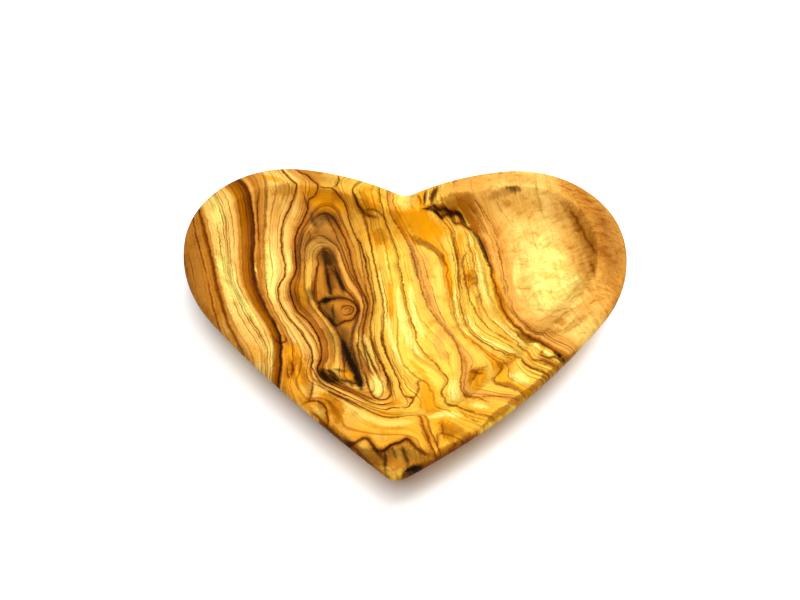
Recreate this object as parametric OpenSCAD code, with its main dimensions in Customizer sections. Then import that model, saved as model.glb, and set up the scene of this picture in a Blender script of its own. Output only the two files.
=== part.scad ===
// Heart-shaped dish carved from one block of olive wood.
// The plan is a heart of tangent arcs. One edge profile, from the base up the outer wall, over the rim and
// down into the hollow, is lofted round that heart. +Y runs from the tip to the lobes, and Z = 0 is the base.

/* [Heart outline] */
// Width across the two lobes
dish_w = 130; // [115:1:150]
// Length from the lobe tops to the tip
dish_l = 109; // [96:1:126]
// Radius of the rounded shoulder at the top of a lobe
shoulder_r = 30; // [26:0.5:34]
// Radius of the cheek, the outer side of a lobe
cheek_r = 44; // [38:1:56]
// Distance from the lobe tops down to the widest line
widest_drop = 30.5; // [27:0.5:35]
// Radius of the long slope from a lobe top down to the cleft
lobe_slope_r = 77; // [65:1:110]
// Turn from a lobe top to where that slope starts, in degrees
lobe_turn = 7.5; // [4:0.5:11]
// Radius of the cleft between the lobes
cleft_r = 4; // [2.5:0.5:9]
// Radius of the long flanks that run to the tip
flank_r = 260; // [200:5:450]
// Radius of the tip
tip_r = 4; // [3:0.5:9]
// How far the tip leans to the left of the middle
tip_lean = 4; // [0:0.5:6]
// Length of the stretch that leans, up from the tip
lean_l = 30; // [24:1:50]

/* [Rim] */
// Height from the base to the top of the rim
dish_h = 22; // [18:0.5:30]
// Width of the rim land, from the outer edge to the crease of the hollow
land_w = 9; // [6:0.5:12]
// How far the land falls from the crease to its outer edge
rim_fall = 1.4; // [0.5:0.1:3]
// Radius of the rounded outer lip
lip_r = 2.5; // [1.5:0.5:5]
// Radius of the eased crease between land and hollow
crease_r = 1; // [0.5:0.1:2]

/* [Hollow] */
// Depth of the hollow below the top of the rim
hollow_depth = 7; // [5.5:0.5:9]
// Slope of the hollow's wall, in degrees from level
hollow_slope = 45; // [35:1:55]
// Radius where the hollow's wall runs into the floor
foot_r = 10; // [6:0.5:13]
// Radius of the crease at the tip
hollow_tip_r = 24; // [16:1:30]
// Radius of the floor at the tip
floor_tip_r = 10; // [6:1:16]

/* [Underside] */
// How far the base lies inside the outer edge
base_inset = 16.5; // [12:0.5:21]
// Lean of the outer wall just under the lip, in degrees from upright
lip_lean = 30; // [10:1:40]
// Radius of the base at the tip
base_tip_r = 10; // [6:1:16]

/* [Hidden] */

// Steps along each arc of half the heart, and along each stretch of the profile
cleft_steps = 6;
slope_steps = 7;
shoulder_steps = 12;
cheek_steps = 10;
flank_steps = 10;
tip_steps = 7;
wall_steps = 6;
lip_steps = 5;
land_steps = 6;
crease_steps = 3;
foot_steps = 6;

wood_colour = [0.83, 0.58, 0.24];

// Centres of the heart's arcs, right half. Each arc runs into the next without a corner.
cheek_c = [dish_w / 2 - cheek_r, dish_l / 2 - widest_drop];
shoulder_c = [cheek_c.x + sqrt(pow(cheek_r - shoulder_r, 2) - pow(widest_drop - shoulder_r, 2)),
    dish_l / 2 - shoulder_r];
slope_from = 90 + lobe_turn;
slope_c = shoulder_c - (lobe_slope_r - shoulder_r) * [cos(slope_from), sin(slope_from)];
cleft_c = [0, slope_c.y + sqrt(pow(lobe_slope_r + cleft_r, 2) - pow(slope_c.x, 2))];
tip_c = [0, tip_r - dish_l / 2];
flank_c = circles_meet(cheek_c, flank_r - cheek_r, tip_c, flank_r - tip_r);

// Profile values: slope of the land at its outer edge, lip centre height, floor height and floor inset
edge_slope = atan(2 * rim_fall / land_w);
lip_z = dish_h - rim_fall - lip_r * cos(edge_slope);
floor_z = dish_h - hollow_depth;
floor_inset = land_w + hollow_depth / tan(hollow_slope) + foot_r * tan(hollow_slope / 2);
crease_start = land_w - crease_r * tan(hollow_slope / 2);

// Point where two circles meet, on the left of the way from a to b
function circles_meet(a, ra, b, rb) =
    let (d = norm(b - a), u = (b - a) / d, along = (ra * ra - rb * rb + d * d) / (2 * d))
    a + u * along + [u.y, -u.x] * sqrt(ra * ra - along * along);

// Direction of a vector, and points on an arc without its last point
function heading(v) = atan2(v.y, v.x);
function arc(c, r, from, to, steps) =
    [for (i = [0 : steps - 1]) let (t = from + (to - from) * i / steps) c + r * [cos(t), sin(t)]];
function blend(a, b, t) = a + (b - a) * t;

// Right half of the heart, drawn in by an inset and with its own tip radius, from the cleft to the tip
function half_heart(inset, tip) =
    let (
        reach = flank_r - inset - tip,
        c = [0, flank_c.y - sqrt(reach * reach - flank_c.x * flank_c.x)],
        cleft_to = heading(slope_c - cleft_c),
        shoulder_to = heading(shoulder_c - cheek_c),
        cheek_to = heading(cheek_c - flank_c),
        flank_to = heading(c - flank_c)
    )
    concat(
        arc(cleft_c, cleft_r + inset, -90, cleft_to, cleft_steps),
        arc(slope_c, lobe_slope_r - inset, cleft_to + 180, slope_from, slope_steps),
        arc(shoulder_c, shoulder_r - inset, slope_from, shoulder_to, shoulder_steps),
        arc(cheek_c, cheek_r - inset, shoulder_to, cheek_to, cheek_steps),
        arc(flank_c, flank_r - inset, cheek_to, flank_to, flank_steps),
        arc(c, tip, flank_to, -90, tip_steps),
        [c - [0, tip]]
    );

// Whole heart at one station of the profile, [inset, height, tip radius], with its tip leaning to the left
function lean(y) = -tip_lean * pow(max(0, 1 - (y + dish_l / 2) / lean_l), 2);
function ring(station) =
    let (half = half_heart(station[0], station[2]), n = len(half))
    [for (i = [0 : 2 * n - 3]) let (p = i < n ? half[i] : half[2 * n - 2 - i])
        [(i < n ? p.x : -p.x) + lean(p.y), p.y, station[1]]];

// Outer wall, bowed from the base up to the lip
lip_foot = [lip_r * (1 - cos(lip_lean)), lip_z - lip_r * sin(lip_lean)];
wall_base = [base_inset, 0];
wall_bow = lip_foot + norm(wall_base - lip_foot) / 2 * [sin(lip_lean), -cos(lip_lean)];
wall_line = [for (i = [0 : wall_steps - 1]) let (t = i / wall_steps)
    blend(blend(wall_base, wall_bow, t), blend(wall_bow, lip_foot, t), t)];

// Rounded lip, then the land that rises to the crease
lip_top = 90 - edge_slope;
lip_line = [for (i = [0 : lip_steps]) let (t = blend(-lip_lean, lip_top, i / lip_steps))
    [lip_r * (1 - cos(t)), lip_z + lip_r * sin(t)]];
land_start = lip_line[lip_steps].x;
land_line = [for (i = [1 : land_steps - 1]) let (t = i / land_steps)
    [blend(land_start, crease_start, t), dish_h - rim_fall * pow(1 - t, 2)]];

// Eased crease, then the wall of the hollow and its foot
crease_line = [for (i = [0 : crease_steps]) let (t = hollow_slope * i / crease_steps)
    [crease_start + crease_r * sin(t), dish_h - crease_r * (1 - cos(t))]];
foot_line = [for (i = [0 : foot_steps]) let (t = hollow_slope * (1 - i / foot_steps))
    [floor_inset - foot_r * sin(t), floor_z + foot_r * (1 - cos(t))]];

// Tip radius at an inset: on the underside, on the land and in the hollow
function under_tip(inset) = blend(tip_r, base_tip_r, inset / base_inset);
function land_tip(inset) = blend(tip_r, hollow_tip_r, inset / land_w);
function hollow_tip(inset) = blend(hollow_tip_r, floor_tip_r, (inset - land_w) / (floor_inset - land_w));

stations = concat(
    [for (p = wall_line) [p.x, p.y, under_tip(p.x)]],
    [for (p = concat(lip_line, land_line)) [p.x, p.y, land_tip(p.x)]],
    [for (p = crease_line) [p.x, p.y, p.x < land_w ? land_tip(p.x) : hollow_tip(p.x)]],
    [for (p = foot_line) [p.x, p.y, hollow_tip(p.x)]]
);

// Closed skin through a list of rings with as many points each, capped at both ends
module skin(rings) {
    n = len(rings[0]);
    last = (len(rings) - 1) * n;
    polyhedron(
        points = [for (r = rings) each r],
        faces = concat(
            [[for (i = [0 : n - 1]) n - 1 - i]],
            [for (k = [0 : len(rings) - 2], i = [0 : n - 1]) let (j = (i + 1) % n)
                each [[k * n + i, k * n + j, k * n + n + j], [k * n + i, k * n + n + j, k * n + n + i]]],
            [[for (i = [0 : n - 1]) last + i]]
        ),
        convexity = 4
    );
}

// The dish itself, hollow and underside in one piece of wood
module dish() {
    color(wood_colour) skin([for (s = stations) ring(s)]);
}

dish();
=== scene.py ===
"""Heart-shaped olive wood dish: the carved skin, its grain, and a plain white studio."""
import math

import bmesh
import bpy
import numpy as np
from mathutils import Color, Matrix, Vector


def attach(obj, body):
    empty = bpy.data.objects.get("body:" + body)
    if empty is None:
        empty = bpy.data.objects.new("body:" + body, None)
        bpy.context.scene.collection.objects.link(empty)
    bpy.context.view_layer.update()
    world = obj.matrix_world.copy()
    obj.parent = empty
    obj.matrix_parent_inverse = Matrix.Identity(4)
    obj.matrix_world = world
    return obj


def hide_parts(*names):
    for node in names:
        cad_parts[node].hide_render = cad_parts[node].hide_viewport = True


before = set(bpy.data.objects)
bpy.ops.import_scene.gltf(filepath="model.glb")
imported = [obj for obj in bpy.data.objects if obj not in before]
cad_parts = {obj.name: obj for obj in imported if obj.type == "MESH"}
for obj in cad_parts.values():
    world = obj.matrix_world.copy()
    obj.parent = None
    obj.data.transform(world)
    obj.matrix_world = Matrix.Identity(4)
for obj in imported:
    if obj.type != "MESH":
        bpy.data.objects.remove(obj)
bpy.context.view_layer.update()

MM = 0.001

# Heart outline of the carved dish, in millimetres
DISH_W = 130.0
DISH_L = 109.0
SHOULDER_R = 30.0
CHEEK_R = 44.0
WIDEST_DROP = 30.5
LOBE_SLOPE_R = 77.0
LOBE_TURN = math.radians(7.5)
CLEFT_R = 4.0
FLANK_R = 260.0
TIP_R = 4.0
TIP_LEAN = 4.0
LEAN_L = 30.0

# Edge profile, in millimetres
DISH_H = 22.0
LAND_W = 9.0
RIM_FALL = 1.4
LIP_R = 2.5
CREASE_R = 1.0
HOLLOW_DEPTH = 7.0
HOLLOW_SLOPE = math.radians(45.0)
FOOT_R = 10.0
HOLLOW_TIP_R = 24.0
FLOOR_TIP_R = 10.0
BASE_INSET = 16.5
LIP_LEAN = math.radians(30.0)
BASE_TIP_R = 10.0

# Floor of the hollow: its height, and how far it lies inside the outline
FLOOR_Z = DISH_H - HOLLOW_DEPTH
FLOOR_INSET = LAND_W + HOLLOW_DEPTH / math.tan(HOLLOW_SLOPE) + FOOT_R * math.tan(HOLLOW_SLOPE / 2)

# Points along each arc of half the heart, from the cleft to the tip
ARC_STEPS = {"cleft": 28, "slope": 54, "shoulder": 88, "cheek": 56, "flank": 106, "tip": 16}

# Rings along each stretch of the profile
BASE_RINGS = 22
WALL_RINGS = 10
LIP_RINGS = 8
LAND_RINGS = 15
CREASE_RINGS = 5
HOLLOW_RINGS = 6
FOOT_RINGS = 15
FLOOR_RINGS = 52

# Point on the axis that the base and the floor close in on
HEART_MIDDLE = np.array([0.0, 5.0])

# How far the smooth skin lies inside the arcs, so that it keeps within the flat facets of the carved part
SKIN_INSET = 0.07

# Points of the skin closer than this become one point
SEAM_GAP = 0.002 * MM

# Camera of the photograph: aim, distance and turns of the view, scale and size of the picture in pixels,
# width of the sensor, and the nearest distance that it shows
AIM = Vector((0.0, 0.0, 20.0)) * MM
VIEW_DISTANCE = 350.0 * MM
VIEW_ELEVATION = math.radians(52.0)
VIEW_TURN = math.radians(-3.36)
VIEW_ROLL = math.radians(2.95)
PIXELS_PER_MM = 3.559
FRAME_PIXELS = 800.0
AIM_OFFSET_PIXELS = (7.9, 7.5)
SENSOR_MM = 36.0
NEAR_CLIP = 10.0 * MM

# Growth lines of the wood in plan, in millimetres: ring number, half width and strength of the dark line
# that runs along it, and the points it passes. Ring numbers rise to the flame's core and fall again.
GROWTH_LINES = (
    (0, 0, 0, ((-72, 50), (-69, 35), (-68, 20), (-66, 8), (-62, -6), (-55, -17))),
    (4, 0.32, 0.45, ((-64, 44), (-61, 34), (-59, 27), (-57, 20), (-55, 13), (-53.3, 6), (-51.5, 0),
        (-49.5, -6), (-47.8, -10), (-44, -17))),
    (7, 0.21, 0.25, ((-59, 45), (-56, 38), (-53.5, 31), (-52.5, 24), (-51.5, 17), (-49.8, 9), (-47.2, 2),
        (-44, -5), (-40.5, -11), (-38, -16), (-37.5, -22))),
    (10, 0.35, 0.4, ((-54.5, 47.5), (-51.5, 42), (-49.8, 37), (-48.8, 31), (-48.2, 25), (-47.5, 18),
        (-46.3, 11), (-44, 5), (-41.5, -1), (-39, -6), (-37, -11), (-36, -16), (-36, -21), (-36.5, -27))),
    (12, 0.35, 0.9, ((-51, 49), (-48, 44), (-46.3, 39), (-45.3, 33), (-45, 27), (-44.8, 21), (-44, 15),
        (-42.5, 9), (-40, 3), (-37.3, -3), (-35.3, -9), (-34.3, -14), (-34, -19), (-34.3, -27))),
    (14, 0.21, 0.5, ((-44, 51), (-42.2, 44), (-42.5, 38), (-42.2, 31), (-42, 25), (-41.2, 18), (-40.5, 12),
        (-39, 6), (-36.5, 0), (-33.5, -6), (-31.8, -11), (-31, -17), (-30.5, -24))),
    (17, 0.24, 0.9, ((-38, 52.5), (-36.5, 49.5), (-34, 46), (-33, 45.1), (-33.3, 43.5), (-34.7, 40.3),
        (-36.5, 37), (-37, 33), (-37, 28), (-36.3, 23), (-35.2, 18), (-35.4, 14.5), (-36.8, 10.5),
        (-36.3, 6.5), (-35, 3), (-33.5, 0), (-31, -3.5), (-28.5, -7.5), (-26.5, -12), (-25.6, -17),
        (-25.6, -22), (-23, -27), (-19, -29.5), (-16.5, -31), (-14, -31.7), (-11, -32.5), (-8.5, -33.3),
        (-6, -33.2), (-4, -31), (-2, -30.9), (0.4, -30.5), (1.4, -28.6), (1.6, -27.1), (0, -26.5))),
    (20, 0.28, 0.95, ((-33.5, 52.5), (-32, 50.5), (-30, 49.5), (-28.5, 47), (-26.5, 44.8), (-27.5, 42.3),
        (-29.2, 41.5), (-29.6, 39.5), (-30.5, 37), (-32.2, 33), (-32.8, 29), (-32.5, 24), (-32, 19),
        (-32.2, 16), (-33.5, 11.5), (-33, 7.5), (-32, 4.5), (-30.5, 1.5), (-28, -1), (-25.5, -5), (-24, -9),
        (-23.4, -14), (-23.9, -19), (-24, -23.5), (-22, -26.3), (-18.5, -28.3), (-15.3, -28.2),
        (-12.5, -28.8), (-10, -30), (-7, -30.2), (-4, -28.8))),
    (20, 0.28, 0.85, ((-26.5, 44.5), (-24.3, 43.8), (-22.5, 43.7), (-20, 41.5), (-18.3, 39.5), (-17, 36),
        (-15.5, 32), (-13.8, 28.5), (-12.5, 24.5), (-11.7, 20), (-11, 15), (-10.2, 11), (-9.5, 7.5),
        (-9.3, 4), (-9.8, 0), (-10, -4), (-9.3, -9), (-7.8, -14), (-6, -18), (-5, -22), (-4.4, -26))),
    (23, 0.32, 0.55, ((-29.3, 34), (-30.8, 30), (-31.2, 25), (-30.9, 20), (-30.7, 15), (-31, 10),
        (-30.5, 6), (-29, 3), (-26.5, 0), (-24, -4), (-22.3, -8), (-21.7, -13), (-22.3, -17))),
    (23, 0.35, 0.8, ((-27.5, 36.8), (-26, 37.8), (-24, 38), (-21.8, 36.8), (-20, 34), (-18.3, 30.5),
        (-17, 26.5), (-16.2, 22), (-15, 17), (-13.5, 12), (-12, 8.5), (-11, 5), (-11.3, 1), (-12, -4),
        (-12, -9), (-11, -14), (-9.7, -19))),
    (25, 0.24, 0.7, ((-29.3, 27), (-27.5, 30), (-25, 30.7), (-22.5, 29), (-20, 26), (-18.5, 22),
        (-17.2, 17.5), (-15.5, 13.5), (-13.5, 10), (-12.3, 6.5), (-12, 3), (-12.5, -1), (-13.3, -5),
        (-13.5, -10), (-12.8, -15), (-11.5, -20))),
    (25, 0.21, 0.5, ((-29.6, 22), (-29.5, 17), (-29.2, 12), (-28.3, 8), (-27.3, 4.5), (-25, 1), (-22.5, -3),
        (-20.5, -7), (-19.8, -12), (-20, -16))),
    (28, 0.35, 0.7, ((-25.5, 20), (-26.3, 15), (-26.4, 10), (-26, 6.5), (-24.5, 3), (-22, -0.5),
        (-19.8, -4), (-18.3, -8), (-17.6, -13), (-17, -18))),
    (28, 0.39, 0.7, ((-25.5, 24.5), (-23.5, 26), (-21.3, 23), (-20, 19), (-18.8, 14), (-17.5, 10.5),
        (-15.5, 8), (-14, 5.5), (-13.3, 2.5), (-14, -1), (-15, -5), (-15, -10), (-13.8, -16),
        (-12.3, -22))),
    (30, 0.42, 0.8, ((-23.8, 22), (-23, 16), (-22, 11), (-21, 7.5))),
    (30, 0, 0, ((-18, 3), (-17.5, -1), (-17, -6), (-16.3, -11), (-15, -17), (-13, -22))),
    (17, 0.24, 0.7, ((-13, 49), (-15, 45.5), (-16, 42.5), (-14.5, 39), (-12, 35), (-10.8, 30), (-10, 25),
        (-9, 20), (-8, 14), (-7, 9), (-6.3, 4), (-6.3, -2), (-6.5, -7), (-5.5, -12), (-4.2, -16.5),
        (-2.6, -20), (-1.2, -25.5))),
    (14, 0.22, 0.75, ((-8, 47), (-8, 42), (-7.5, 38), (-6, 33), (-4, 29), (-2.6, 25), (-1.9, 20),
        (-1.2, 15), (-0.5, 10), (0.2, 5), (1.3, 0), (2.5, -4), (3.3, -8.5), (5, -12), (8, -15.5),
        (9.7, -18), (11.2, -20), (11.2, -21.8), (10.2, -24), (9.8, -25.5), (10.4, -29), (11.3, -32),
        (13.5, -34.3), (17, -35.4), (23, -36.3))),
    (12, 0.2, 0.65, ((-5.3, 46), (-5.7, 42), (-5.4, 38), (-4.5, 34.5), (-2.5, 31.8), (-0.2, 29), (1.5, 26),
        (2.5, 21.5), (3.3, 17), (4.2, 13), (5.1, 9), (6, 5.5), (7.3, 2.5), (9, -0.5), (10.8, -3.5),
        (13, -6.5), (14.5, -10), (15.5, -14), (15.3, -18), (14.8, -22), (15, -26), (16, -30), (18, -31.2),
        (22, -30.6), (29, -30.4))),
    (9, 0, 0, ((4.5, 44), (4.2, 39), (4.5, 34), (7, 29))),
    (9, 0.24, 0.5, ((10.5, 25), (12, 20), (12.2, 15), (12.8, 10),
        (13.3, 6), (14, 1), (15.3, -3), (17, -6.5), (20, -9), (22.5, -12), (24.5, -15), (25.4, -18.5),
        (25.3, -22), (23.5, -25), (25, -27), (31, -28.7))),
    (7, 0, 0, ((9, 46), (8.3, 41), (9.5, 37))),
    (7, 0.24, 0.5, ((13.5, 34), (14.5, 29), (15.3, 24), (15.7, 19),
        (15.5, 14), (15.4, 9), (16, 4), (17, -1), (18.3, -4.5), (21, -7.3), (24, -9.5), (27, -12),
        (29, -15), (30.5, -18.5), (33, -21), (38, -22.3))),
    (5, 0, 0, ((12, 47.5), (11.5, 42), (14, 37.8))),
    (5, 0.24, 0.6, ((17.5, 34), (19, 29), (19.8, 24), (20.5, 18),
        (20.8, 13), (21.3, 8), (22.5, 3.5), (24.8, -0.5), (28, -4.2), (30.7, -8), (31.6, -12.5),
        (33, -16.5), (35, -19), (40, -20))),
    (3, 0, 0, ((14, 48.5), (14, 43), (16.5, 38.5))),
    (3, 0.36, 0.6, ((19.8, 34.5), (22, 30), (23.2, 25.5), (24.5, 20.5),
        (25.3, 15), (26.2, 10), (27.5, 5), (29, 0.5), (32, -3.5), (34, -8), (35.3, -12), (38, -14),
        (43, -16.5))),
    (1, 0.21, 0.2, ((20, 50), (20, 44), (23, 40), (26, 35), (27.5, 29), (28.3, 22), (29, 15), (30, 8),
        (31.5, 2), (34.5, -3), (37, -8), (40, -11.5), (45, -13))),
    (-2, 0, 0, ((30, 54), (30, 46), (33, 40), (35.5, 30), (36.5, 20), (38, 10), (40, 2), (43.5, -4),
        (48, -9))),
    (-6, 0, 0, ((42, 53), (41.5, 45), (45, 36), (47, 25), (48, 15), (49.5, 6), (53, -2))),
    (-9, 0, 0, ((52, 50), (53, 42), (56.5, 32), (58, 22), (58.5, 12), (60, 4))),
    (-12, 0, 0, ((62, 48), (65, 36), (67, 22), (67, 10))),
    (16, 0.3, 0.8, ((-21.5, -29.4), (-18, -31.4), (-14.5, -33.2), (-11, -35.3), (-8, -37), (-5, -37.8),
        (-1.5, -37.5), (1, -36.3), (2.6, -36.8), (3.6, -38.5), (4.3, -41), (5.5, -44.3), (6.4, -46.6),
        (8, -50))),
    (15, 0, 0, ((-30, -26), (-27, -32), (-22, -37), (-16.5, -40.5), (-10, -42.5), (-3, -43), (2.5, -44),
        (4.5, -48))),
    (13.5, 0, 0, ((-31, -31), (-22, -41), (-12, -50), (-3, -57))),
)

# Turn and shift of the growth lines to the dish's axis, in degrees and millimetres
GRAIN_TURN = math.radians(0.68)
GRAIN_SHIFT = np.array([0.4, 0.13])

# Side of the wood that a growth line lies on: the flame's axis parts left from right
FLAME_AXIS = ((-26, 60), (-25, 38), (-23.5, 20), (-20, 6), (-17.5, -4), (-15, -17), (-12, -30), (-9, -60))
SIDE_SOFTNESS = 1.5

# Dark veins and fine lines beside the growth lines, and dark lines in the right lobe's crease and along the
# lip that hold painted shade, in millimetres: half width, strength and points
VEINS_AND_SHADE_LINES = (
    (0.3, 0.8, ((-22.5, 43.8), (-21, 45), (-20.4, 47), (-20.5, 51))),
    (0.5, 1, ((4.5, 35.8), (6.5, 36.4), (8, 37.6), (9.5, 36.8), (11, 37.8), (13, 37.1), (14.5, 37.9),
        (16, 37.2), (17, 35.5), (19, 34.3), (21, 33.2))),
    (0.4, 0.95, ((8, 37), (9.3, 36), (10.5, 35.2), (12, 36.4), (13.3, 37), (14.3, 35.4), (15.5, 35),
        (17.5, 35.6))),
    (0.35, 0.9, ((-21.5, 6.9), (-18.5, 7.2), (-16.3, 6.6), (-14.6, 5.2), (-13.6, 3), (-14.2, 1),
        (-15.6, -0.9), (-17.2, -1.1), (-18.6, -2.2), (-20, -3))),
    (0.3, 0.8, ((-25.2, 6), (-24.4, 3), (-22.8, 0.7), (-21, -1.8), (-19.5, -3.5))),
    (0.25, 0.75, ((-18.6, 2.4), (-18, 3.9), (-16.8, 4.4), (-15.4, 4), (-14.9, 2.6), (-15.8, 1.4),
        (-17.2, 1), (-18.4, 1.8))),
    (0.2, 0.6, ((-17.6, 2.6), (-17, 3.5), (-16, 3.2), (-16.1, 2.3), (-17, 2))),
    (0.3, 0.7, ((-1, -25.8), (0.2, -26.6), (1.6, -26.9), (2.6, -26.2), (3.2, -24), (3.4, -21.5),
        (5, -21.2))),
    (0.35, 0.85, ((35, -12.8), (36.8, -12.7), (38, -13.8), (39, -14.2))),
    (0.35, 0.85, ((36, -17), (37, -15.8), (36.6, -16.8), (38.5, -17.6), (40.3, -16.8), (41.5, -17.6),
        (43.5, -17.2))),
    (0.35, 0.8, ((34, -18.5), (37, -18.7), (39, -19.2), (41, -19.8))),
    (0.35, 0.85, ((30.5, -18), (31.5, -19.7), (33.5, -21), (36, -21.5), (38.5, -22.2))),
    (0.25, 0.7, ((-32.3, -21), (-31.6, -25), (-30.6, -22.5), (-31.4, -20))),
    (0.25, 0.7, ((-36.5, -12), (-34.4, -14.6), (-33.3, -13), (-33.2, -11), (-34, -9))),
    (0.22, 0.7, ((-44, 43), (-44.5, 38), (-44, 33), (-43.5, 27))),
    (0.22, 0.7, ((-45.3, 25), (-43.6, 15), (-41.3, 7), (-39.5, 3))),
    (0.22, 0.6, ((-41.5, 44), (-42, 38), (-41.8, 32))),
    (0.25, 0.75, ((-31, 43.5), (-30, 41), (-29.6, 39.5))),
    (0.22, 0.6, ((-29, 33), (-28.5, 30), (-29.5, 27.5), (-29.9, 24))),
    (0.3, 0.8, ((-21.5, 20), (-20, 16), (-18.7, 12), (-18, 9))),
    (0.22, 0.7, ((-24, 38), (-21.5, 33), (-20, 29), (-18.5, 25), (-17.3, 21), (-16, 16.5), (-14, 12))),
    (0.2, 0.6, ((-14.5, 30), (-13.3, 24), (-12.7, 19), (-12, 14), (-11, 9))),
    (0.2, 0.6, ((-11.5, 25), (-10.3, 18), (-9.3, 11), (-8.3, 5))),
    (0.2, 0.6, ((-11.7, -8), (-10.9, -12), (-9.8, -15), (-8.6, -19))),
    (0.22, 0.75, ((-8.9, -6), (-8.5, -10), (-7.2, -14), (-5.8, -18), (-5.2, -22), (-5, -25))),
    (0.22, 0.65, ((-10.2, -6), (-9.5, -10), (-8.6, -14), (-7.6, -17), (-7, -20))),
    (0.22, 0.65, ((-7, -5), (-6.7, -9), (-5, -14), (-3.4, -18))),
    (0.3, 0.75, ((3.4, 43), (4.2, 39.5), (4.7, 37))),
    (0.35, 0.9, ((6, 44), (5.6, 41), (5.4, 37.5))),
    (0.5, 0.9, ((9.6, 46), (8.4, 43), (7.8, 40), (7.5, 38))),
    (0.4, 0.75, ((-16, 42.5), (-15, 40), (-13.5, 37.5), (-11, 35.5), (-8, 34.3))),
    (0.25, 0.7, ((-12.5, 37), (-9.5, 36.5), (-7, 34.5), (-5.2, 32.5))),
    (0.5, 0.75, ((16.8, -18.9), (18.5, -18), (19.5, -19), (20.6, -19.6), (21.4, -18.4))),
    (0.3, 0.6, ((19.5, -19), (18.3, -21.5), (17, -24))),
    (0.2, 0.65, ((13, -34), (16, -35.6), (21.5, -36.2))),
    (0.2, 0.6, ((14, -35.8), (17, -36.9), (21, -37.4))),
    (0.2, 0.6, ((13, -35), (16, -37.4), (20, -38.4))),
    (0.25, 0.6, ((18, -31), (21, -32.2), (23, -32.3))),
    (0.45, 0.9, ((18.9, 0.3), (19.1, 0.2))),
    # Painted shade: dark lines along the right lobe's crease, where the hollow's wall turns away from the
    # light
    (0.3, 0.7, ((49.2, 38.5), (51, 35.2), (52.8, 30), (54.3, 24.5), (55.5, 20))),
    (0.3, 0.55, ((53.3, 18), (54, 14), (53.7, 10))),
    (0.22, 0.55, ((20, 42), (24, 39), (26.5, 35), (28, 30))),
    (0.2, 0.4, ((15, 41), (19, 40), (22, 37), (24, 32))),
    (0.25, 0.2, ((45, -7), (49, -1.5), (53, 2), (57, 4))),
    (0.25, 0.2, ((38, -9.8), (43, -8.5), (46, -5.5), (50, -2))),
    (0.2, 0.65, ((-14.3, -8.3), (-12.6, -12.3), (-10.9, -16.3), (-9, -20.2))),
    (0.2, 0.6, ((-12.7, -7.7), (-10.6, -12.3), (-9, -16.3), (-8.2, -19.6))),
    (0.2, 0.6, ((-32, 1.3), (-29, -2.7), (-26.2, -6.8), (-24.5, -11), (-23.5, -15.8))),
    (0.25, 0.7, ((18.6, 25.7), (17, 22.5), (17, 18.3), (17.5, 14), (18.5, 7.6), (20, 3), (22.6, -2),
        (26, -5), (29.5, -8))),
    (0.2, 0.35, ((26.5, 43.5), (29.5, 39.7), (33, 35.4))),
    (0.3, 0.85, ((-11.4, -18), (-10.7, -22), (-9.5, -26), (-8, -28), (-5.8, -27.8), (-4.3, -26.3),
        (-4.1, -24), (-4.8, -21), (-6, -18))),
    (0.22, 0.7, ((-22, -25), (-18.5, -26.8), (-15.5, -26.4), (-12.5, -27), (-10.5, -27.9), (-9, -28.8),
        (-7.5, -28.9))),
    (0.22, 0.6, ((-24.5, -27), (-20.8, -30), (-17.5, -31.8), (-14.5, -33.9), (-12, -35.3))),
    (0.25, 0.75, ((2.5, -35.3), (4, -37), (5.2, -38.5), (5.8, -41.5), (7.2, -44.6), (9, -47))),
    (0.3, 0.8, ((-25, -26), (-25.1, -28), (-25.4, -30.4), (-25.8, -32))),
    (0.3, 0.85, ((-27.5, -32.4), (-25.7, -32.2), (-23.3, -32.6), (-21.6, -34.4), (-20.9, -36.8),
        (-20.6, -38.2), (-21.2, -39))),
    (0.55, 1, ((-16.3, -43), (-15.2, -44.4), (-13.9, -44.7), (-11.6, -43.8), (-10.4, -44), (-9, -45.8),
        (-7.7, -47.5), (-5.8, -47.3), (-4.2, -45.9), (-1.7, -45.1), (0, -44.2), (1.6, -46.3), (3.5, -47.5),
        (5.1, -48.2), (5.8, -46.9))),
    (0.22, 0.6, ((8.8, -38.5), (9.1, -41), (9.4, -44))),
    (0.3, 0.85, ((11.5, -45.7), (12.4, -44.2), (13.7, -44), (15, -43.2))),
    # Dark lines along the lip's outer edge: the wood's dark edge, together with painted shade under the
    # rounded lip
    (0.3, 0.7, ((-25.6, -34.3), (-22.2, -37.8), (-19, -41.1), (-16.2, -43.6), (-13.5, -45.9),
        (-11, -48.4), (-9, -50.5), (-6.4, -52.8), (-4, -54.3))),
    (0.3, 0.85, ((-2.4, -54.3), (-0.7, -53.6), (2, -52.2), (4, -50.9), (6.5, -49.1), (9, -47.5),
        (11.7, -45.7), (15, -43.3), (19, -40.2))),
)

# Patches of plain wood, without streaks and fine lines, in millimetres: half width, strength and points
STILL_STROKES = (
    (5, 0.85, ((1, 33.5), (7, 33), (11.5, 31.5))),
    (4.5, 0.9, ((9.5, 43.5), (14.5, 44), (20, 46), (26, 47))),
    (4, 0.85, ((11, 38.8), (15, 39.5), (18.5, 37.5), (21, 34))),
)
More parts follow.
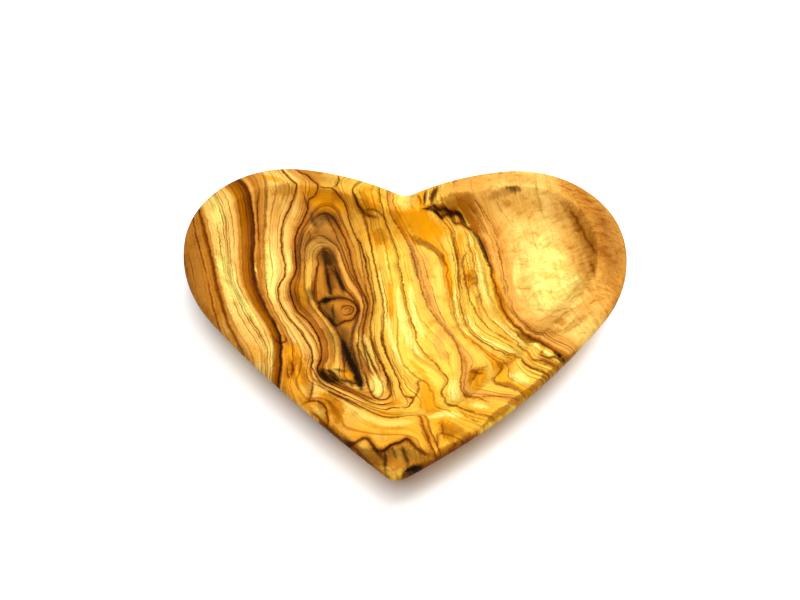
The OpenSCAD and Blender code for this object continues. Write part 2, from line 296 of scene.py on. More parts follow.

# Strokes of colour, given in the same way. Most follow the grain; some brown strokes are painted shade in
# creases, on the hollow's back wall and under the lip, as marked
AMBER_STROKES = (
    (2.0, 0.7, ((-28, -31), (-23, -36.5), (-18.5, -41.3))),
    (5, 0.95, ((-4, 35), (2, 32.5), (8, 32), (13, 33))),
    (1.3, 0.8, ((-36, 46), (-40, 47.3), (-44, 49))),
    (2.6, 0.8, ((-30, 43), (-26, 41.5), (-22, 40.5), (-18, 38))),
    (2, 0.8, ((-31, 13), (-30.5, 8), (-28.5, 3))),
    (1.5, 0.95, ((-17.5, -19), (-15.5, -20), (-14, -21.5))),
    (3.8, 0.9, ((-31, -12), (-30, -20), (-28.5, -26), (-26.5, -31))),
    (1.8, 0.6, ((-13, 45), (-11, 41), (-9, 37))),
    (1.2, 0.9, ((11, 24), (12.3, 18), (12.7, 12), (12.8, 8))),
    (0.9, 0.85, ((-4.7, 14), (-4.4, 8), (-4.3, 3), (-4, -2))),
    (3.6, 0.85, ((5, -21), (6, -27), (6.5, -33), (7, -36))),
    (1, 0.7, ((1, -14), (4, -18), (6, -21))),
    (3, 0.85, ((20, -17), (19.3, -22), (19, -28))),
    (1.5, 0.7, ((23.5, -13), (24.5, -17), (24, -22))),
    (1.8, 0.7, ((28, -14), (28.5, -17), (27.5, -20))),
    (1.4, 0.7, ((16.5, 33), (16, 28), (16, 23))),
    (1.6, 0.7, ((25.8, 18), (26.7, 10), (28.2, 3), (31, -2))),
    (2, 0.7, ((-2, -28.5), (-5, -29.5))),
    (1.8, 0.8, ((17.6, 20), (18.5, 16), (18.5, 12))),
    (3.2, 0.75, ((-13.5, 41.5), (-10.5, 38.5), (-8, 36.5))),
    (2.6, 0.7, ((-10, 31), (-7.5, 29), (-5.5, 27))),
    (2.6, 0.75, ((-33, -23.5), (-29, -29), (-25, -33.5))),
    (2.5, 0.7, ((9, -40), (12, -44))),
    (1, 0.35, ((23, 0), (26, -4), (29, -7), (31, -11))),
    (0.8, 0.7, ((34, -15.5), (33, -17.5), (35, -20))),
    (1.5, 0.5, ((-43, -14), (-38, -20))),
    (2.4, 0.85, ((-24, -30), (-21, -32), (-19, -34.7), (-17.7, -37.6), (-18.2, -40.7))),
    (2.2, 0.7, ((-32, -26), (-30, -27.6), (-28, -30.2))),
    (2.4, 0.75, ((8.8, -39.2), (10.4, -40.9), (12.3, -42.3))),
    (2, 0.7, ((3, -27.6), (5, -30.7), (9, -31.4))),
    (1.4, 0.7, ((-9, -35.3), (-4.5, -35.6), (0, -34))),
    (1.8, 0.5, ((-15, -43), (-12.3, -42.6), (-9.5, -42.3))),
    (1.7, 0.6, ((-31, 44), (-28.3, 42.8), (-25, 40.5))),
    (1.4, 0.6, ((-13, 42), (-11, 43.7), (-9, 47))),
)
WASH_STROKES = (
    (3.2, 0.6, ((-42, 42.5), (-34, 43.5), (-26, 42), (-18, 40), (-12, 37.5), (-5, 34.5))),
    (7, 0.55, ((-15, 45), (-11, 39), (-8, 32), (-5, 25))),
    (10, 0.6, ((-27, -31), (-14, -40), (0, -44), (12, -40), (25, -32))),
)
BROWN_AND_SHADE_STROKES = (
    # Painted shade on the hollow's back wall right of the cleft, where the wall faces away from the light
    (3.4, 0.9, ((10, 37.5), (13, 38.8), (17, 39.5), (20, 37.5), (21.8, 33.5))),
    (1.1, 0.6, ((-30, -17), (-28.3, -23), (-26.3, -29))),
    (0.8, 0.55, ((-32, -18), (-30.5, -24), (-28.8, -29))),
    (0.6, 0.3, ((22, 24), (22.8, 16), (23.6, 9), (25.4, 3), (28.5, -2.5), (31, -7))),
    (0.5, 0.3, ((20.2, 28), (20.9, 20), (21.4, 12), (22.3, 6), (24.5, 0.5), (27.5, -4))),
    (4.2, 0.68, ((-10, -47.5), (-5, -50), (1, -50), (5, -48.5))),
    # Two more strokes of painted shade on the hollow's back wall right of the cleft
    (2.2, 0.8, ((9.4, 38.8), (12, 39.8), (15.5, 41), (19, 41.4), (21.5, 39.5))),
    (1.8, 0.75, ((14.2, 38.3), (17.7, 38), (20.4, 36))),
    (0.8, 0.6, ((26, 14.6), (27.2, 10.5), (28.8, 5.7), (31.2, 2), (34, -1.7),
        (36.4, -7.6), (38.2, -12.3))),
    (0.7, 0.6, ((48.5, 46), (50.5, 44.8), (53.5, 46))),
    (0.7, 0.6, ((55, 38), (57, 37.2), (59.5, 36.5))),
    (0.8, 0.6, ((54.5, 28), (57.5, 26.8), (61, 25.8))),
    (0.8, 0.6, ((55.5, 21.5), (58, 19.5), (60.5, 17.5))),
    (0.9, 0.5, ((42.5, -10), (46, -7), (49.5, -4.5))),
    (0.9, 0.5, ((40.5, -7.3), (44.5, -2.6), (48.5, 0))),
    (1.2, 0.35, ((40, -6), (45, -3), (50, 1))),
    # Dark along the lip's outer edge on the right flank: the wood's dark edge, together with painted shade
    # under the rounded lip
    (0.9, 0.75, ((17, -41.7), (22.4, -36.4), (26.8, -32.6), (32, -28.2), (38.3, -22.2),
        (43, -17.3), (47, -13.4))),
    (1.2, 0.6, ((16.2, -23), (19, -18.5), (22.5, -16.8))),
    # Painted shade on the hollow's back wall right of the cleft
    (1.6, 0.8, ((6.6, 36.8), (10.3, 37), (13.3, 37.4), (16.4, 37.2))),
    # This stroke and the next, along the lip's outer edge by the tip: the wood's dark edge, together with
    # painted shade under the rounded lip
    (1.6, 0.8, ((-1, -53.5), (3.7, -50.7), (6.8, -48.8), (10, -46.7), (13.2, -44.3),
        (16, -42.3), (19, -40))),
    (1.3, 0.6, ((-25, -35), (-19, -41), (-13.5, -46), (-9, -50.5), (-5, -53.8))),
    (2.4, 0.6, ((-22, -30.6), (-20, -32.4), (-18.2, -35.4), (-18.3, -38.5), (-19.4, -39.5))),
    (1.6, 0.5, ((-23, -32.2), (-21.8, -35.6), (-21.3, -38.4))),
    (1.4, 0.5, ((-28, -25), (-26.3, -28), (-25.3, -31.5))),
    (1.8, 0.6, ((-15.8, 41.7), (-14.7, 38.6), (-12.7, 36.8), (-10, 35.5))),
    (1, 0.35, ((43, -9), (48, -5), (52, -1.5))),
    (1.4, 0.75, ((1, 30), (4, 28.2), (8, 26.5), (10, 24), (11.7, 20))),
    # Painted shade: a dark band just below the crease at the back of the left lobe
    (2, 0.5, ((-40, 43), (-36.5, 44), (-33, 43.5))),
    (1.8, 0.35, ((-31, 43), (-26, 42.5), (-20, 41), (-15, 39.3))),
    (0.6, 0.5, ((18.8, 25), (19, 20), (19.8, 15.5), (19, 12), (20.3, 8), (21, 3), (22.5, -1))),
    (1.6, 0.8, ((19, 16.5), (19.8, 13.5))),
    (0.6, 0.8, ((14.6, 34), (14.6, 28), (15.4, 22), (15.5, 15), (15.4, 8))),
    (1.3, 0.4, ((25.7, 12), (27, 6), (28.5, 2), (29.3, -1))),
    (1.2, 0.85, ((31, -3.5), (33, -7), (34.3, -11), (36, -13))),
    (1.7, 0.7, ((-24, 36.8), (-21, 35.3), (-19.5, 33))),
    (1.2, 0.7, ((-26.5, 14), (-27, 9), (-25.5, 5))),
    (3, 0.9, ((-22, -22.3), (-20, -23), (-18, -23.6))),
    (2.2, 0.6, ((9, -39.5), (10.5, -42), (12.5, -43.5))),
    (1.8, 0.5, ((10.8, -39), (13, -41), (15.5, -42))),
    (0.9, 0.75, ((22.7, -24.5), (23.5, -26.5), (27, -27), (31.5, -28.3))),
    (0.7, 0.75, ((25.3, -15), (25.9, -19), (25, -22.3), (23.5, -24.5))),
    (0.8, 0.8, ((11.2, -30), (11.5, -33), (13.5, -34.5))),
    (0.8, 0.8, ((15.7, -27), (16, -30.5), (18, -31.3))),
    (1.2, 0.6, ((36, -17.5), (39, -18.8), (42, -18.5))),
    (1.5, 0.6, ((4, -49.5), (8, -48.5))),
    (1.3, 0.6, ((-35, -17), (-34.5, -22), (-34, -26))),
    (0.9, 0.5, ((-31, 15), (-32, 11), (-32, 6))),
    (2, 0.5, ((-14.5, 43), (-13, 40), (-11.5, 37.5))),
    (1.5, 0.5, ((-8.5, 31), (-7.5, 28))),
    # Painted shade on the hollow's back wall right of the cleft
    (1, 0.5, ((14, 38.5), (19, 38.8), (23, 36), (25, 31))),
    (1.2, 0.5, ((24, 42), (30, 44.5), (36, 45.3))),
    # Painted shade: dark brown just inside the right lobe's crease, on the wall turned away from the light
    (2.2, 0.55, ((46, 42), (50, 36.7), (51.7, 32.8), (53.3, 27.7), (54.4, 20.7),
        (54, 13.8), (53, 10.4))),
    (2, 0.45, ((36, -8), (39.5, -9), (43, -8.5))),
    (1.8, 0.5, ((-22, -26.5), (-15, -27.4), (-9.5, -30.3))),
    (0.8, 0.6, ((-14, -32.4), (-9, -35), (-4, -36.6), (0, -35.5))),
    (1.8, 0.6, ((-19.7, -33.2), (-18, -34.7), (-17.3, -36.6))),
    (1.6, 0.6, ((-11, -46.8), (-9, -48.9), (-7, -50.8))),
    (1.4, 0.5, ((-4.2, -49), (-3.5, -51.3), (-2.6, -53.4))),
    (1, 0.6, ((3.5, -39), (4.5, -42), (5.8, -45.5))),
    (1.2, 0.55, ((-32, 8.6), (-31.3, 5.6), (-28.2, 2.6), (-26.3, 0.2))),
    (1.1, 0.5, ((-27.6, 8.7), (-27.4, 4.4), (-24.9, 0.8))),
    (1.2, 0.6, ((-15, 39.5), (-12.6, 37.2), (-9, 35.6))),
    (1.8, 0.5, ((-9, 30.8), (-6, 29.2))),
    (1.2, 0.5, ((-20.3, 4.6), (-17, 6.6), (-14.3, 5), (-13.8, 2.3), (-15, -0.6), (-17.7, -1.8),
        (-20, -0.8))),
)
TAN_STROKES = (
    (4, 0.9, ((9.5, 43), (14.5, 44), (20, 46), (26, 47))),
    (5.5, 0.4, ((-28, -32), (-20, -39.5), (-12, -43), (-3, -44), (5, -45.5))),
    (4.5, 0.9, ((-11, -49), (-4, -51), (3, -50))),
    (4.5, 0.85, ((27, 42.5), (34, 42.5), (41, 41))),
    (2.2, 0.7, ((26, 35), (28, 28), (28.5, 18), (30, 10))),
    (4, 0.8, ((35, 0), (40, -4), (45, -7))),
    (2.5, 0.55, ((49, 32), (51, 22), (50, 10))),
    (4, 0.75, ((18, 46.5), (28, 50), (40, 50))),
    (2.4, 0.8, ((-39.5, 44), (-39.5, 37), (-39.8, 31))),
    (1.3, 0.7, ((-35.5, 43), (-34.8, 34))),
    (1.8, 0.7, ((11, -2), (9, -9), (12, -15))),
    (4.5, 0.8, ((46, -6), (53, 1), (58, 9))),
    (3.2, 0.7, ((-52, -5), (-47, -12), (-41, -19))),
    (2, 0.6, ((7, 26), (6, 21), (6.5, 15))),
    (2.2, 0.6, ((-16.3, -39.4), (-13.7, -41), (-10.4, -40.2))),
    (2, 0.5, ((-9, -41), (-5.2, -41.8), (-2.6, -41.5))),
    (0.9, 0.8, ((-13.3, 22), (-11.8, 15), (-10.5, 9))),
    (1.5, 0.9, ((-12.5, -5), (-11.3, -12), (-9.3, -18))),
    (3, 0.95, ((-9, -16), (-7.8, -22), (-7, -27))),
)
DUSK_STROKES = (
    (1.8, 0.6, ((-29, 20.5), (-29, 25), (-27, 28.5), (-24, 29), (-21.5, 27.5), (-20.5, 23.5))),
    (1.3, 0.5, ((-26.5, 32), (-24, 30))),
    (1, 0.6, ((23.5, 31), (23.2, 28), (24, 24))),
    (0.9, 0.6, ((1.2, 27), (2.4, 21), (3.6, 15))),
    (1, 0.35, ((-3, 21), (-2.5, 17))),
    (0.8, 0.5, ((6, 10), (7, 5))),
    (4.5, 0.42, ((58, 42), (60.5, 30), (61, 20), (60, 12))),
    (3, 0.35, ((-62, 30), (-61.5, 20), (-60, 8), (-56, -2))),
    (3, 0.35, ((-26, 48), (-20, 47))),
    (1.3, 0.75, ((-31, 33), (-31.3, 27.7), (-31.4, 23.8), (-31.4, 18))),
    (1, 0.6, ((-29, 31), (-29.7, 25), (-30, 18.7))),
)
CREAM_STROKES = (
    (2, 0.9, ((-41, 27), (-39.5, 20), (-38.8, 12), (-37.5, 5))),
    (0.9, 0.7, ((-34.6, 26), (-34, 20), (-33.8, 16))),
    (2.6, 0.9, ((-54, 25), (-52.3, 15), (-50, 8), (-47, 2), (-44, -3), (-41, -8))),
    (2, 0.75, ((-59, 42), (-55.7, 34), (-54.5, 27))),
    (0.35, 0.8, ((-44.5, 25), (-44.1, 20), (-43.4, 14.5))),
    (2.6, 0.4, ((-0.5, 43), (-0.3, 36.5))),
    (0.6, 0.8, ((6.8, 44), (6.4, 38.5))),
    (1.7, 0.2, ((9.7, 21), (9.3, 14), (9.6, 7), (10.5, 1))),
    (1.1, 0.9, ((1.2, 14), (1.7, 6), (3, -1), (5, -7))),
    (1.4, 0.9, ((-2, 12), (-1.6, 4), (0, -4), (2, -10), (6, -15.5))),
    (0.9, 0.8, ((-6, 8), (-5.4, 0), (-4, -8), (-2.3, -14), (-0.8, -20))),
    (0.6, 0.8, ((14, 12), (14.2, 4), (15.3, -2), (18, -6))),
    (1.2, 0.75, ((21.3, 24), (22, 17), (22.7, 10), (24, 4))),
    (0.8, 0.95, ((19.2, 32), (19.6, 29), (20.2, 26.5))),
    (0.9, 0.7, ((24.5, 1), (27.5, -2.5), (30, -5.5), (31.5, -9), (32.5, -13.5))),
    (0.9, 0.8, ((19.5, -5.5), (23.5, -8), (28, -11), (30, -15))),
    (1.6, 0.7, ((12.8, -20), (12.8, -26), (13.5, -31))),
    (1.7, 0.95, ((28, -24.3), (32, -25))),
    (1, 0.8, ((16.5, -33), (21, -33.6))),
    (0.9, 0.9, ((9.5, -36.8), (14.5, -37))),
    (1, 0.9, ((34, -13), (36, -14.5))),
    (0.7, 1, ((37.7, -15.6), (38.9, -16.6))),
    (7, 0.85, ((40, 30), (42.5, 20), (43, 10), (41, 4))),
    (1.2, 0.6, ((33, 24), (32.5, 15), (33.5, 8))),
    (1, 0.7, ((17, 3), (18.5, -1.5), (21, -5))),
    (0.7, 0.7, ((-7.8, 18), (-7, 12), (-6.8, 6))),
    (1.2, 0.5, ((-13.4, -6), (-12, -11), (-10.4, -15.5), (-9.2, -19))),
    (0.9, 0.5, ((-11.5, -6), (-9.8, -12), (-8, -17))),
    (2.6, 0.7, ((-8.8, -20), (-8, -23.5), (-7.5, -26.5))),
    (1, 0.5, ((-37, -13), (-36.5, -18), (-37, -22))),
    (1.7, 0.35, ((-16.7, -34), (-13.8, -36), (-11, -37.4), (-8.4, -38.9))),
    (1.3, 0.4, ((-11, -37.5), (-7.2, -39.3), (-3.3, -39.8), (2, -38.8))),
    (1.2, 0.4, ((-25.3, -33.7), (-23.6, -35), (-22, -37))),
    (1.3, 0.25, ((-28.5, -27.8), (-26.5, -29.4), (-27, -31.2))),
    (0.9, 0.3, ((-12.2, -46), (-10.3, -47.2))),
    (0.8, 0.3, ((-3, -47.3), (-1.6, -50))),
    (1, 0.25, ((1, -48), (2.6, -49))),
    (1.1, 0.7, ((6, -37.4), (9.2, -36.6), (12, -36))),
    (1.4, 0.25, ((-8.4, -43.8), (-6, -43.8))),
)
SMOKE_STROKES = (
    (0.8, 0.75, ((9.7, 46.5), (8.4, 41.5), (7.6, 37.8))),
    (0.6, 0.65, ((6.3, 44.5), (5.7, 40), (5.5, 37.5))),
    (2, 0.6, ((-22.5, 20.5), (-21.5, 14), (-22, 9))),
    (2, 0.65, ((-24.5, 6.5), (-22.5, 3), (-20, -1.5))),
    (2.2, 0.7, ((-19.5, -2.5), (-17.5, -6), (-16, -11.5))),
    (2, 0.4, ((-31.5, 11.5), (-30.5, 7), (-28, 3.5))),
    (2.6, 0.5, ((-28.5, 35.5), (-25, 36.5), (-22, 35.5))),
    (1.6, 0.6, ((-28.5, 32.5), (-26, 34.2), (-24.2, 36.7), (-21.7, 36.6), (-20, 34))),
    (2.6, 0.35, ((-31.3, 26.5), (-29, 31), (-25.6, 32.3), (-21.6, 30.5), (-19, 27))),
    (3.2, 0.85, ((-24.6, 27.5), (-24.2, 25), (-22.8, 21.4), (-21.4, 18))),
    (2.6, 0.45, ((-28, 21.5), (-25.3, 25), (-22.8, 25.2), (-20, 22))),
    (2.4, 0.45, ((-22.7, -4.4), (-19.6, -8), (-17.5, -12))),
    (2.4, 0.5, ((-33, 9.2), (-30.4, 6.8), (-27.7, 5.6))),
    (1.8, 0.45, ((-30, 11), (-27.8, 8.7), (-27.2, 5.5))),
    (1.2, 0.5, ((-15.7, -6.7), (-14.4, -3), (-13.5, 0.5))),
    (1.3, 0.6, ((-23, 19.5), (-22.4, 12.5), (-21.5, 7))),
    (1.3, 0.6, ((-22, 18.8), (-20, 15), (-18.2, 10.7), (-17.7, 8))),
    (1.5, 0.75, ((-25, 3.6), (-23.2, 6.2), (-20.3, 7), (-17, 7.4))),
    (2.4, 0.7, ((-23.3, 4), (-21.2, 1), (-19.8, -2.3), (-18.5, -5))),
    (1.3, 0.65, ((-27.7, 34.5), (-26.7, 36), (-24.7, 37), (-22, 36.8), (-21, 35.5))),
    (1.2, 0.7, ((-28.4, 38), (-27.7, 35.5), (-26.2, 34.2))),
    (2.6, 0.75, ((-18.5, -5), (-16.8, -10), (-15, -14.7), (-13.6, -19), (-12.4, -23))),
    (3.4, 0.7, ((-23, -21.5), (-20, -23.5), (-16.5, -25.5))),
    (2, 0.5, ((-13, -46.3), (-9.5, -48), (-6.5, -49.3), (-4, -48), (-1.3, -47),
        (1.5, -48.8), (4, -49))),
    (1.6, 0.45, ((-9.5, -46.5), (-7, -49), (-5.5, -51))),
    (1.4, 0.5, ((-1.8, -46), (-0.5, -49), (0.8, -51.5))),
    (1.2, 0.4, ((-3.5, -45.6), (0, -45), (3, -47.6), (5, -48.6))),
)
BLACK_STROKES = (
    (1, 0.4, ((-27.8, 36.6), (-26.8, 34.6))),
    (0.8, 0.35, ((-28.5, 38.5), (-27, 36.8), (-24.5, 37.5), (-22, 36.4))),
    (1.3, 1, ((-25, 5.3), (-22.5, 6.3), (-20.5, 6.7))),
    (0.7, 0.85, ((-22, 1), (-20.3, -2.3), (-18.8, -3))),
    (1.5, 1, ((-18, -6.5), (-16.8, -11), (-15.3, -15.5), (-13.2, -20), (-12, -22.8))),
    (1, 0.7, ((-19.5, -18.6), (-17, -18.8))),
    (0.9, 1, ((40.5, -15.8), (43, -17.2))),
    (0.9, 0.7, ((30.5, 45.4), (34.5, 45.3))),
    (0.65, 0.95, ((7.5, 37.8), (10.3, 36.8), (12, 37.7), (13.6, 37), (16, 37.6),
        (17.5, 36.2), (19, 34.2))),
    (0.5, 0.9, ((5, 36), (8, 36.3), (10, 35.8), (11.3, 35))),
    (0.5, 0.85, ((10.8, 35.1), (12.3, 36.4), (14.3, 36.4), (15.3, 34.6))),
    (0.9, 0.7, ((18.3, 34.8), (20, 33.3), (21.7, 30.5), (22.8, 27), (23.6, 24), (24.6, 19))),
    (0.9, 0.8, ((-17.5, -23), (-15, -22.8), (-14.8, -24.5))),
    (0.7, 0.7, ((-37.5, -1.5), (-36.4, -6))),
    (1.6, 0.65, ((-24.2, 25.5), (-22.9, 21.5), (-21.6, 18.5))),
    (0.6, 0.7, ((-23, 19.5), (-22.4, 12.5), (-21.5, 7))),
    (0.7, 0.75, ((-22, 18.8), (-20, 15), (-18.2, 10.7), (-17.7, 8.3))),
    (1.8, 1, ((-22.8, -20.8), (-22.6, -23.5), (-21, -25.8), (-18.6, -26))),
    (1.2, 0.9, ((-22.2, -20.4), (-20.6, -20.2), (-19.2, -21.8))),
    (1.3, 0.9, ((-20.6, -22.8), (-19.6, -23.6), (-18.8, -24.8))),
    (1.5, 1, ((-14, -19), (-12.9, -22), (-12.3, -25))),
    (0.7, 0.8, ((-22.5, -23.9), (-21, -25.3), (-19.3, -24.9), (-18.4, -22.5))),
    (0.8, 0.9, ((-13.7, -20), (-12.6, -22), (-13.6, -22.6), (-15, -24))),
    (1, 1, ((-1.4, -53.8), (0.3, -52.3), (2, -51.7), (3.8, -50.8))),
    (0.6, 0.7, ((-9, -46.4), (-7, -48.6), (-5.8, -50))),
    (0.6, 0.85, ((-5.8, -47.5), (-5.7, -50.5), (-5.7, -53))),
    (0.5, 0.6, ((-4.2, -46.5), (-2.9, -49.4))),
    (0.7, 0.75, ((-1.6, -46), (-0.4, -49.3), (0.3, -51.3))),
    (0.5, 0.7, ((-20.5, 6), (-20.9, 2.8), (-20, -2))),
)

# Wood colours, as seen in daylight
TAN = (0.75, 0.48, 0.14)
PALE_TAN = (0.90, 0.65, 0.28)
GOLD = (0.95, 0.74, 0.29)
YELLOW = (0.97, 0.80, 0.30)
WHEAT = (0.97, 0.79, 0.41)
CREAM = (0.99, 0.93, 0.50)
ORANGE = (0.94, 0.62, 0.03)
AMBER = (0.94, 0.61, 0.0)
RUST = (0.76, 0.47, 0.02)
BROWN = (0.61, 0.35, 0.0)
RED_BROWN = (0.42, 0.19, 0.0)
DUSK = (0.57, 0.36, 0.16)
SMOKE = (0.20, 0.11, 0.03)
DARK_LINE = (0.15, 0.06, 0.0)
HEART_BLACK = (0.11, 0.04, 0.0)

# Colour of each side by ring number
LEFT_RINGS = ((3.4, TAN), (4.0, BROWN), (4.3, TAN), (5.0, WHEAT), (8.4, WHEAT), (9.3, PALE_TAN),
              (10.0, RUST), (10.8, BROWN), (11.8, RED_BROWN), (12.1, TAN), (12.4, PALE_TAN), (12.8, TAN),
              (13.2, TAN), (14.0, PALE_TAN), (14.3, WHEAT), (16.6, WHEAT), (17.0, PALE_TAN), (17.4, WHEAT),
              (19.2, PALE_TAN), (20.0, TAN), (22.8, TAN), (23.2, PALE_TAN), (24.7, TAN), (25.3, GOLD),
              (27.4, PALE_TAN), (28.2, TAN))
RIGHT_RINGS = ((-12, PALE_TAN), (-9.0, TAN), (-7.6, PALE_TAN), (-5.5, WHEAT), (-1.5, WHEAT),
               (0.3, PALE_TAN), (2.0, PALE_TAN), (2.4, TAN), (2.9, RUST), (3.2, YELLOW), (4.7, GOLD),
               (5.2, GOLD), (6.0, YELLOW), (6.7, GOLD), (7.2, YELLOW), (8.2, GOLD), (8.8, ORANGE),
               (9.4, GOLD), (10.6, YELLOW), (11.3, PALE_TAN), (12.0, PALE_TAN), (12.4, GOLD),
               (13.2, YELLOW), (15.1, YELLOW), (15.8, GOLD), (16.4, YELLOW), (17.3, GOLD), (20.0, GOLD),
               (22.5, TAN), (26.5, PALE_TAN), (29.5, TAN))
RING_SPAN = (-14.0, 32.0)


def heading(vector):
    return math.atan2(vector[1], vector[0])


def circles_meet(a, radius_a, b, radius_b):
    """Point where two circles meet, on the left of the way from a to b."""
    gap = np.hypot(*(b - a))
    way = (b - a) / gap
    along = (radius_a ** 2 - radius_b ** 2 + gap ** 2) / (2 * gap)
    return a + way * along + np.array([way[1], -way[0]]) * math.sqrt(radius_a ** 2 - along ** 2)


CHEEK_C = np.array([DISH_W / 2 - CHEEK_R, DISH_L / 2 - WIDEST_DROP])
SHOULDER_SIDE = math.sqrt((CHEEK_R - SHOULDER_R) ** 2 - (WIDEST_DROP - SHOULDER_R) ** 2)
SHOULDER_C = np.array([CHEEK_C[0] + SHOULDER_SIDE, DISH_L / 2 - SHOULDER_R])
SLOPE_FROM = math.pi / 2 + LOBE_TURN
SLOPE_C = SHOULDER_C - (LOBE_SLOPE_R - SHOULDER_R) * np.array([math.cos(SLOPE_FROM), math.sin(SLOPE_FROM)])
CLEFT_C = np.array([0.0, SLOPE_C[1] + math.sqrt((LOBE_SLOPE_R + CLEFT_R) ** 2 - SLOPE_C[0] ** 2)])
TIP_C = np.array([0.0, TIP_R - DISH_L / 2])
FLANK_C = circles_meet(CHEEK_C, FLANK_R - CHEEK_R, TIP_C, FLANK_R - TIP_R)


def arc(centre, radius, start, stop, steps):
    turn = np.linspace(start, stop, steps, endpoint=False)
    return centre + radius * np.column_stack([np.cos(turn), np.sin(turn)])


def heart_ring(inset, tip):
    """Closed heart, drawn in by an inset, from the cleft round the right lobe and back to the cleft."""
    inset = inset + SKIN_INSET
    reach = FLANK_R - inset - tip
    tip_c = np.array([0.0, FLANK_C[1] - math.sqrt(reach ** 2 - FLANK_C[0] ** 2)])
    cleft_to = heading(SLOPE_C - CLEFT_C)
    shoulder_to = heading(SHOULDER_C - CHEEK_C)
    cheek_to = heading(CHEEK_C - FLANK_C)
    flank_to = heading(tip_c - FLANK_C)
    half = np.vstack([
        arc(CLEFT_C, CLEFT_R + inset, -math.pi / 2, cleft_to, ARC_STEPS["cleft"]),
        arc(SLOPE_C, LOBE_SLOPE_R - inset, cleft_to + math.pi, SLOPE_FROM, ARC_STEPS["slope"]),
        arc(SHOULDER_C, SHOULDER_R - inset, SLOPE_FROM, shoulder_to, ARC_STEPS["shoulder"]),
        arc(CHEEK_C, CHEEK_R - inset, shoulder_to, cheek_to, ARC_STEPS["cheek"]),
        arc(FLANK_C, FLANK_R - inset, cheek_to, flank_to, ARC_STEPS["flank"]),
        arc(tip_c, tip, flank_to, -math.pi / 2, ARC_STEPS["tip"]),
        [tip_c - [0.0, tip]],
    ])
    whole = np.vstack([half, half[-2::-1] * [-1.0, 1.0]])
    whole[:, 0] -= TIP_LEAN * np.maximum(0.0, 1 - (whole[:, 1] + DISH_L / 2) / LEAN_L) ** 2
    return whole


def blend(a, b, t):
    return a + (b - a) * t


def edge_profile():
    """Stations from the base's edge, over the rim, to the floor's edge: inset, height and tip radius."""
    edge_slope = math.atan(2 * RIM_FALL / LAND_W)
    lip_z = DISH_H - RIM_FALL - LIP_R * math.cos(edge_slope)
    lip_end = math.pi / 2 - edge_slope
    land_start = LIP_R * (1 - math.cos(lip_end))
    crease_start = LAND_W - CREASE_R * math.tan(HOLLOW_SLOPE / 2)

    def lip(turn):
        return np.array([LIP_R * (1 - math.cos(turn)), lip_z + LIP_R * math.sin(turn)])

    def land(t):
        return np.array([blend(land_start, crease_start, t), DISH_H - RIM_FALL * (1 - t) ** 2])

    def crease(turn):
        return np.array([crease_start + CREASE_R * math.sin(turn),
                         DISH_H - CREASE_R * (1 - math.cos(turn))])

    def foot(turn):
        return np.array([FLOOR_INSET - FOOT_R * math.sin(turn), FLOOR_Z + FOOT_R * (1 - math.cos(turn))])

    wall_base = np.array([BASE_INSET, 0.0])
    wall_top = lip(-LIP_LEAN)
    half_wall = np.hypot(*(wall_base - wall_top)) / 2
    wall_bow = wall_top + half_wall * np.array([math.sin(LIP_LEAN), -math.cos(LIP_LEAN)])

    def wall(t):
        return blend(blend(wall_base, wall_bow, t), blend(wall_bow, wall_top, t), t)

    def hollow(t):
        return blend(crease(HOLLOW_SLOPE), foot(HOLLOW_SLOPE), t)

    def under_tip(inset):
        return blend(TIP_R, BASE_TIP_R, inset / BASE_INSET)

    def top_tip(inset):
        if inset < LAND_W:
            return blend(TIP_R, HOLLOW_TIP_R, inset / LAND_W)
        return blend(HOLLOW_TIP_R, FLOOR_TIP_R, (inset - LAND_W) / (FLOOR_INSET - LAND_W))

    under = [wall(t) for t in np.linspace(0.0, 1.0, WALL_RINGS, endpoint=False)]
    over = [lip(turn) for turn in np.linspace(-LIP_LEAN, lip_end, LIP_RINGS)]
    over += [land(t) for t in np.linspace(0.0, 1.0, LAND_RINGS, endpoint=False)[1:]]
    over += [crease(turn) for turn in np.linspace(0.0, HOLLOW_SLOPE, CREASE_RINGS)]
    over += [hollow(t) for t in np.linspace(0.0, 1.0, HOLLOW_RINGS, endpoint=False)[1:]]
    over += [foot(turn) for turn in np.linspace(HOLLOW_SLOPE, 0.0, FOOT_RINGS)]
    return ([(inset, z, under_tip(inset)) for inset, z in under]
            + [(inset, z, top_tip(inset)) for inset, z in over])


def skin_rings():
    """Rings of the skin from the middle of the base, over the rim, to the middle of the floor."""
    def level(ring, z):
        return np.column_stack([ring, np.full(len(ring), z)])

    base = heart_ring(BASE_INSET, BASE_TIP_R)
    floor = heart_ring(FLOOR_INSET, FLOOR_TIP_R)
    rings = [level(blend(HEART_MIDDLE, base, share), 0.0)
             for share in np.linspace(0.0, 1.0, BASE_RINGS, endpoint=False)]
    rings += [level(heart_ring(inset, tip), z) for inset, z, tip in edge_profile()]
    rings += [level(blend(HEART_MIDDLE, floor, share), FLOOR_Z)
              for share in np.linspace(1.0, 0.0, FLOOR_RINGS)[1:]]
    return np.array(rings)


def carved_skin():
    """Grid wrapped round the heart: one way along the rings, the other way round the outline."""
    rings = skin_rings() * MM
    ring_count, point_count = rings.shape[:2]
    bm = bmesh.new()
    bmesh.ops.create_grid(bm, x_segments=point_count - 1, y_segments=ring_count - 1, size=1.0)
    for vert in bm.verts:
        point = round((vert.co.x + 1) / 2 * (point_count - 1))
        ring = round((vert.co.y + 1) / 2 * (ring_count - 1))
        vert.co = rings[ring, point]
    bmesh.ops.remove_doubles(bm, verts=bm.verts, dist=SEAM_GAP)
    bmesh.ops.recalc_face_normals(bm, faces=bm.faces)
    mesh = bpy.data.meshes.new("dish_wood")
    bm.to_mesh(mesh)
    bm.free()
    mesh.shade_smooth()
    return mesh


# Steps along a drawn line and along a stroke, in millimetres
LINE_STEP = 0.6
STROKE_STEP = 0.8

# A distance out of reach of any line, in millimetres, and a number that keeps logs and divisions off zero
FAR_OFF = 50.0
TINY = 1e-9


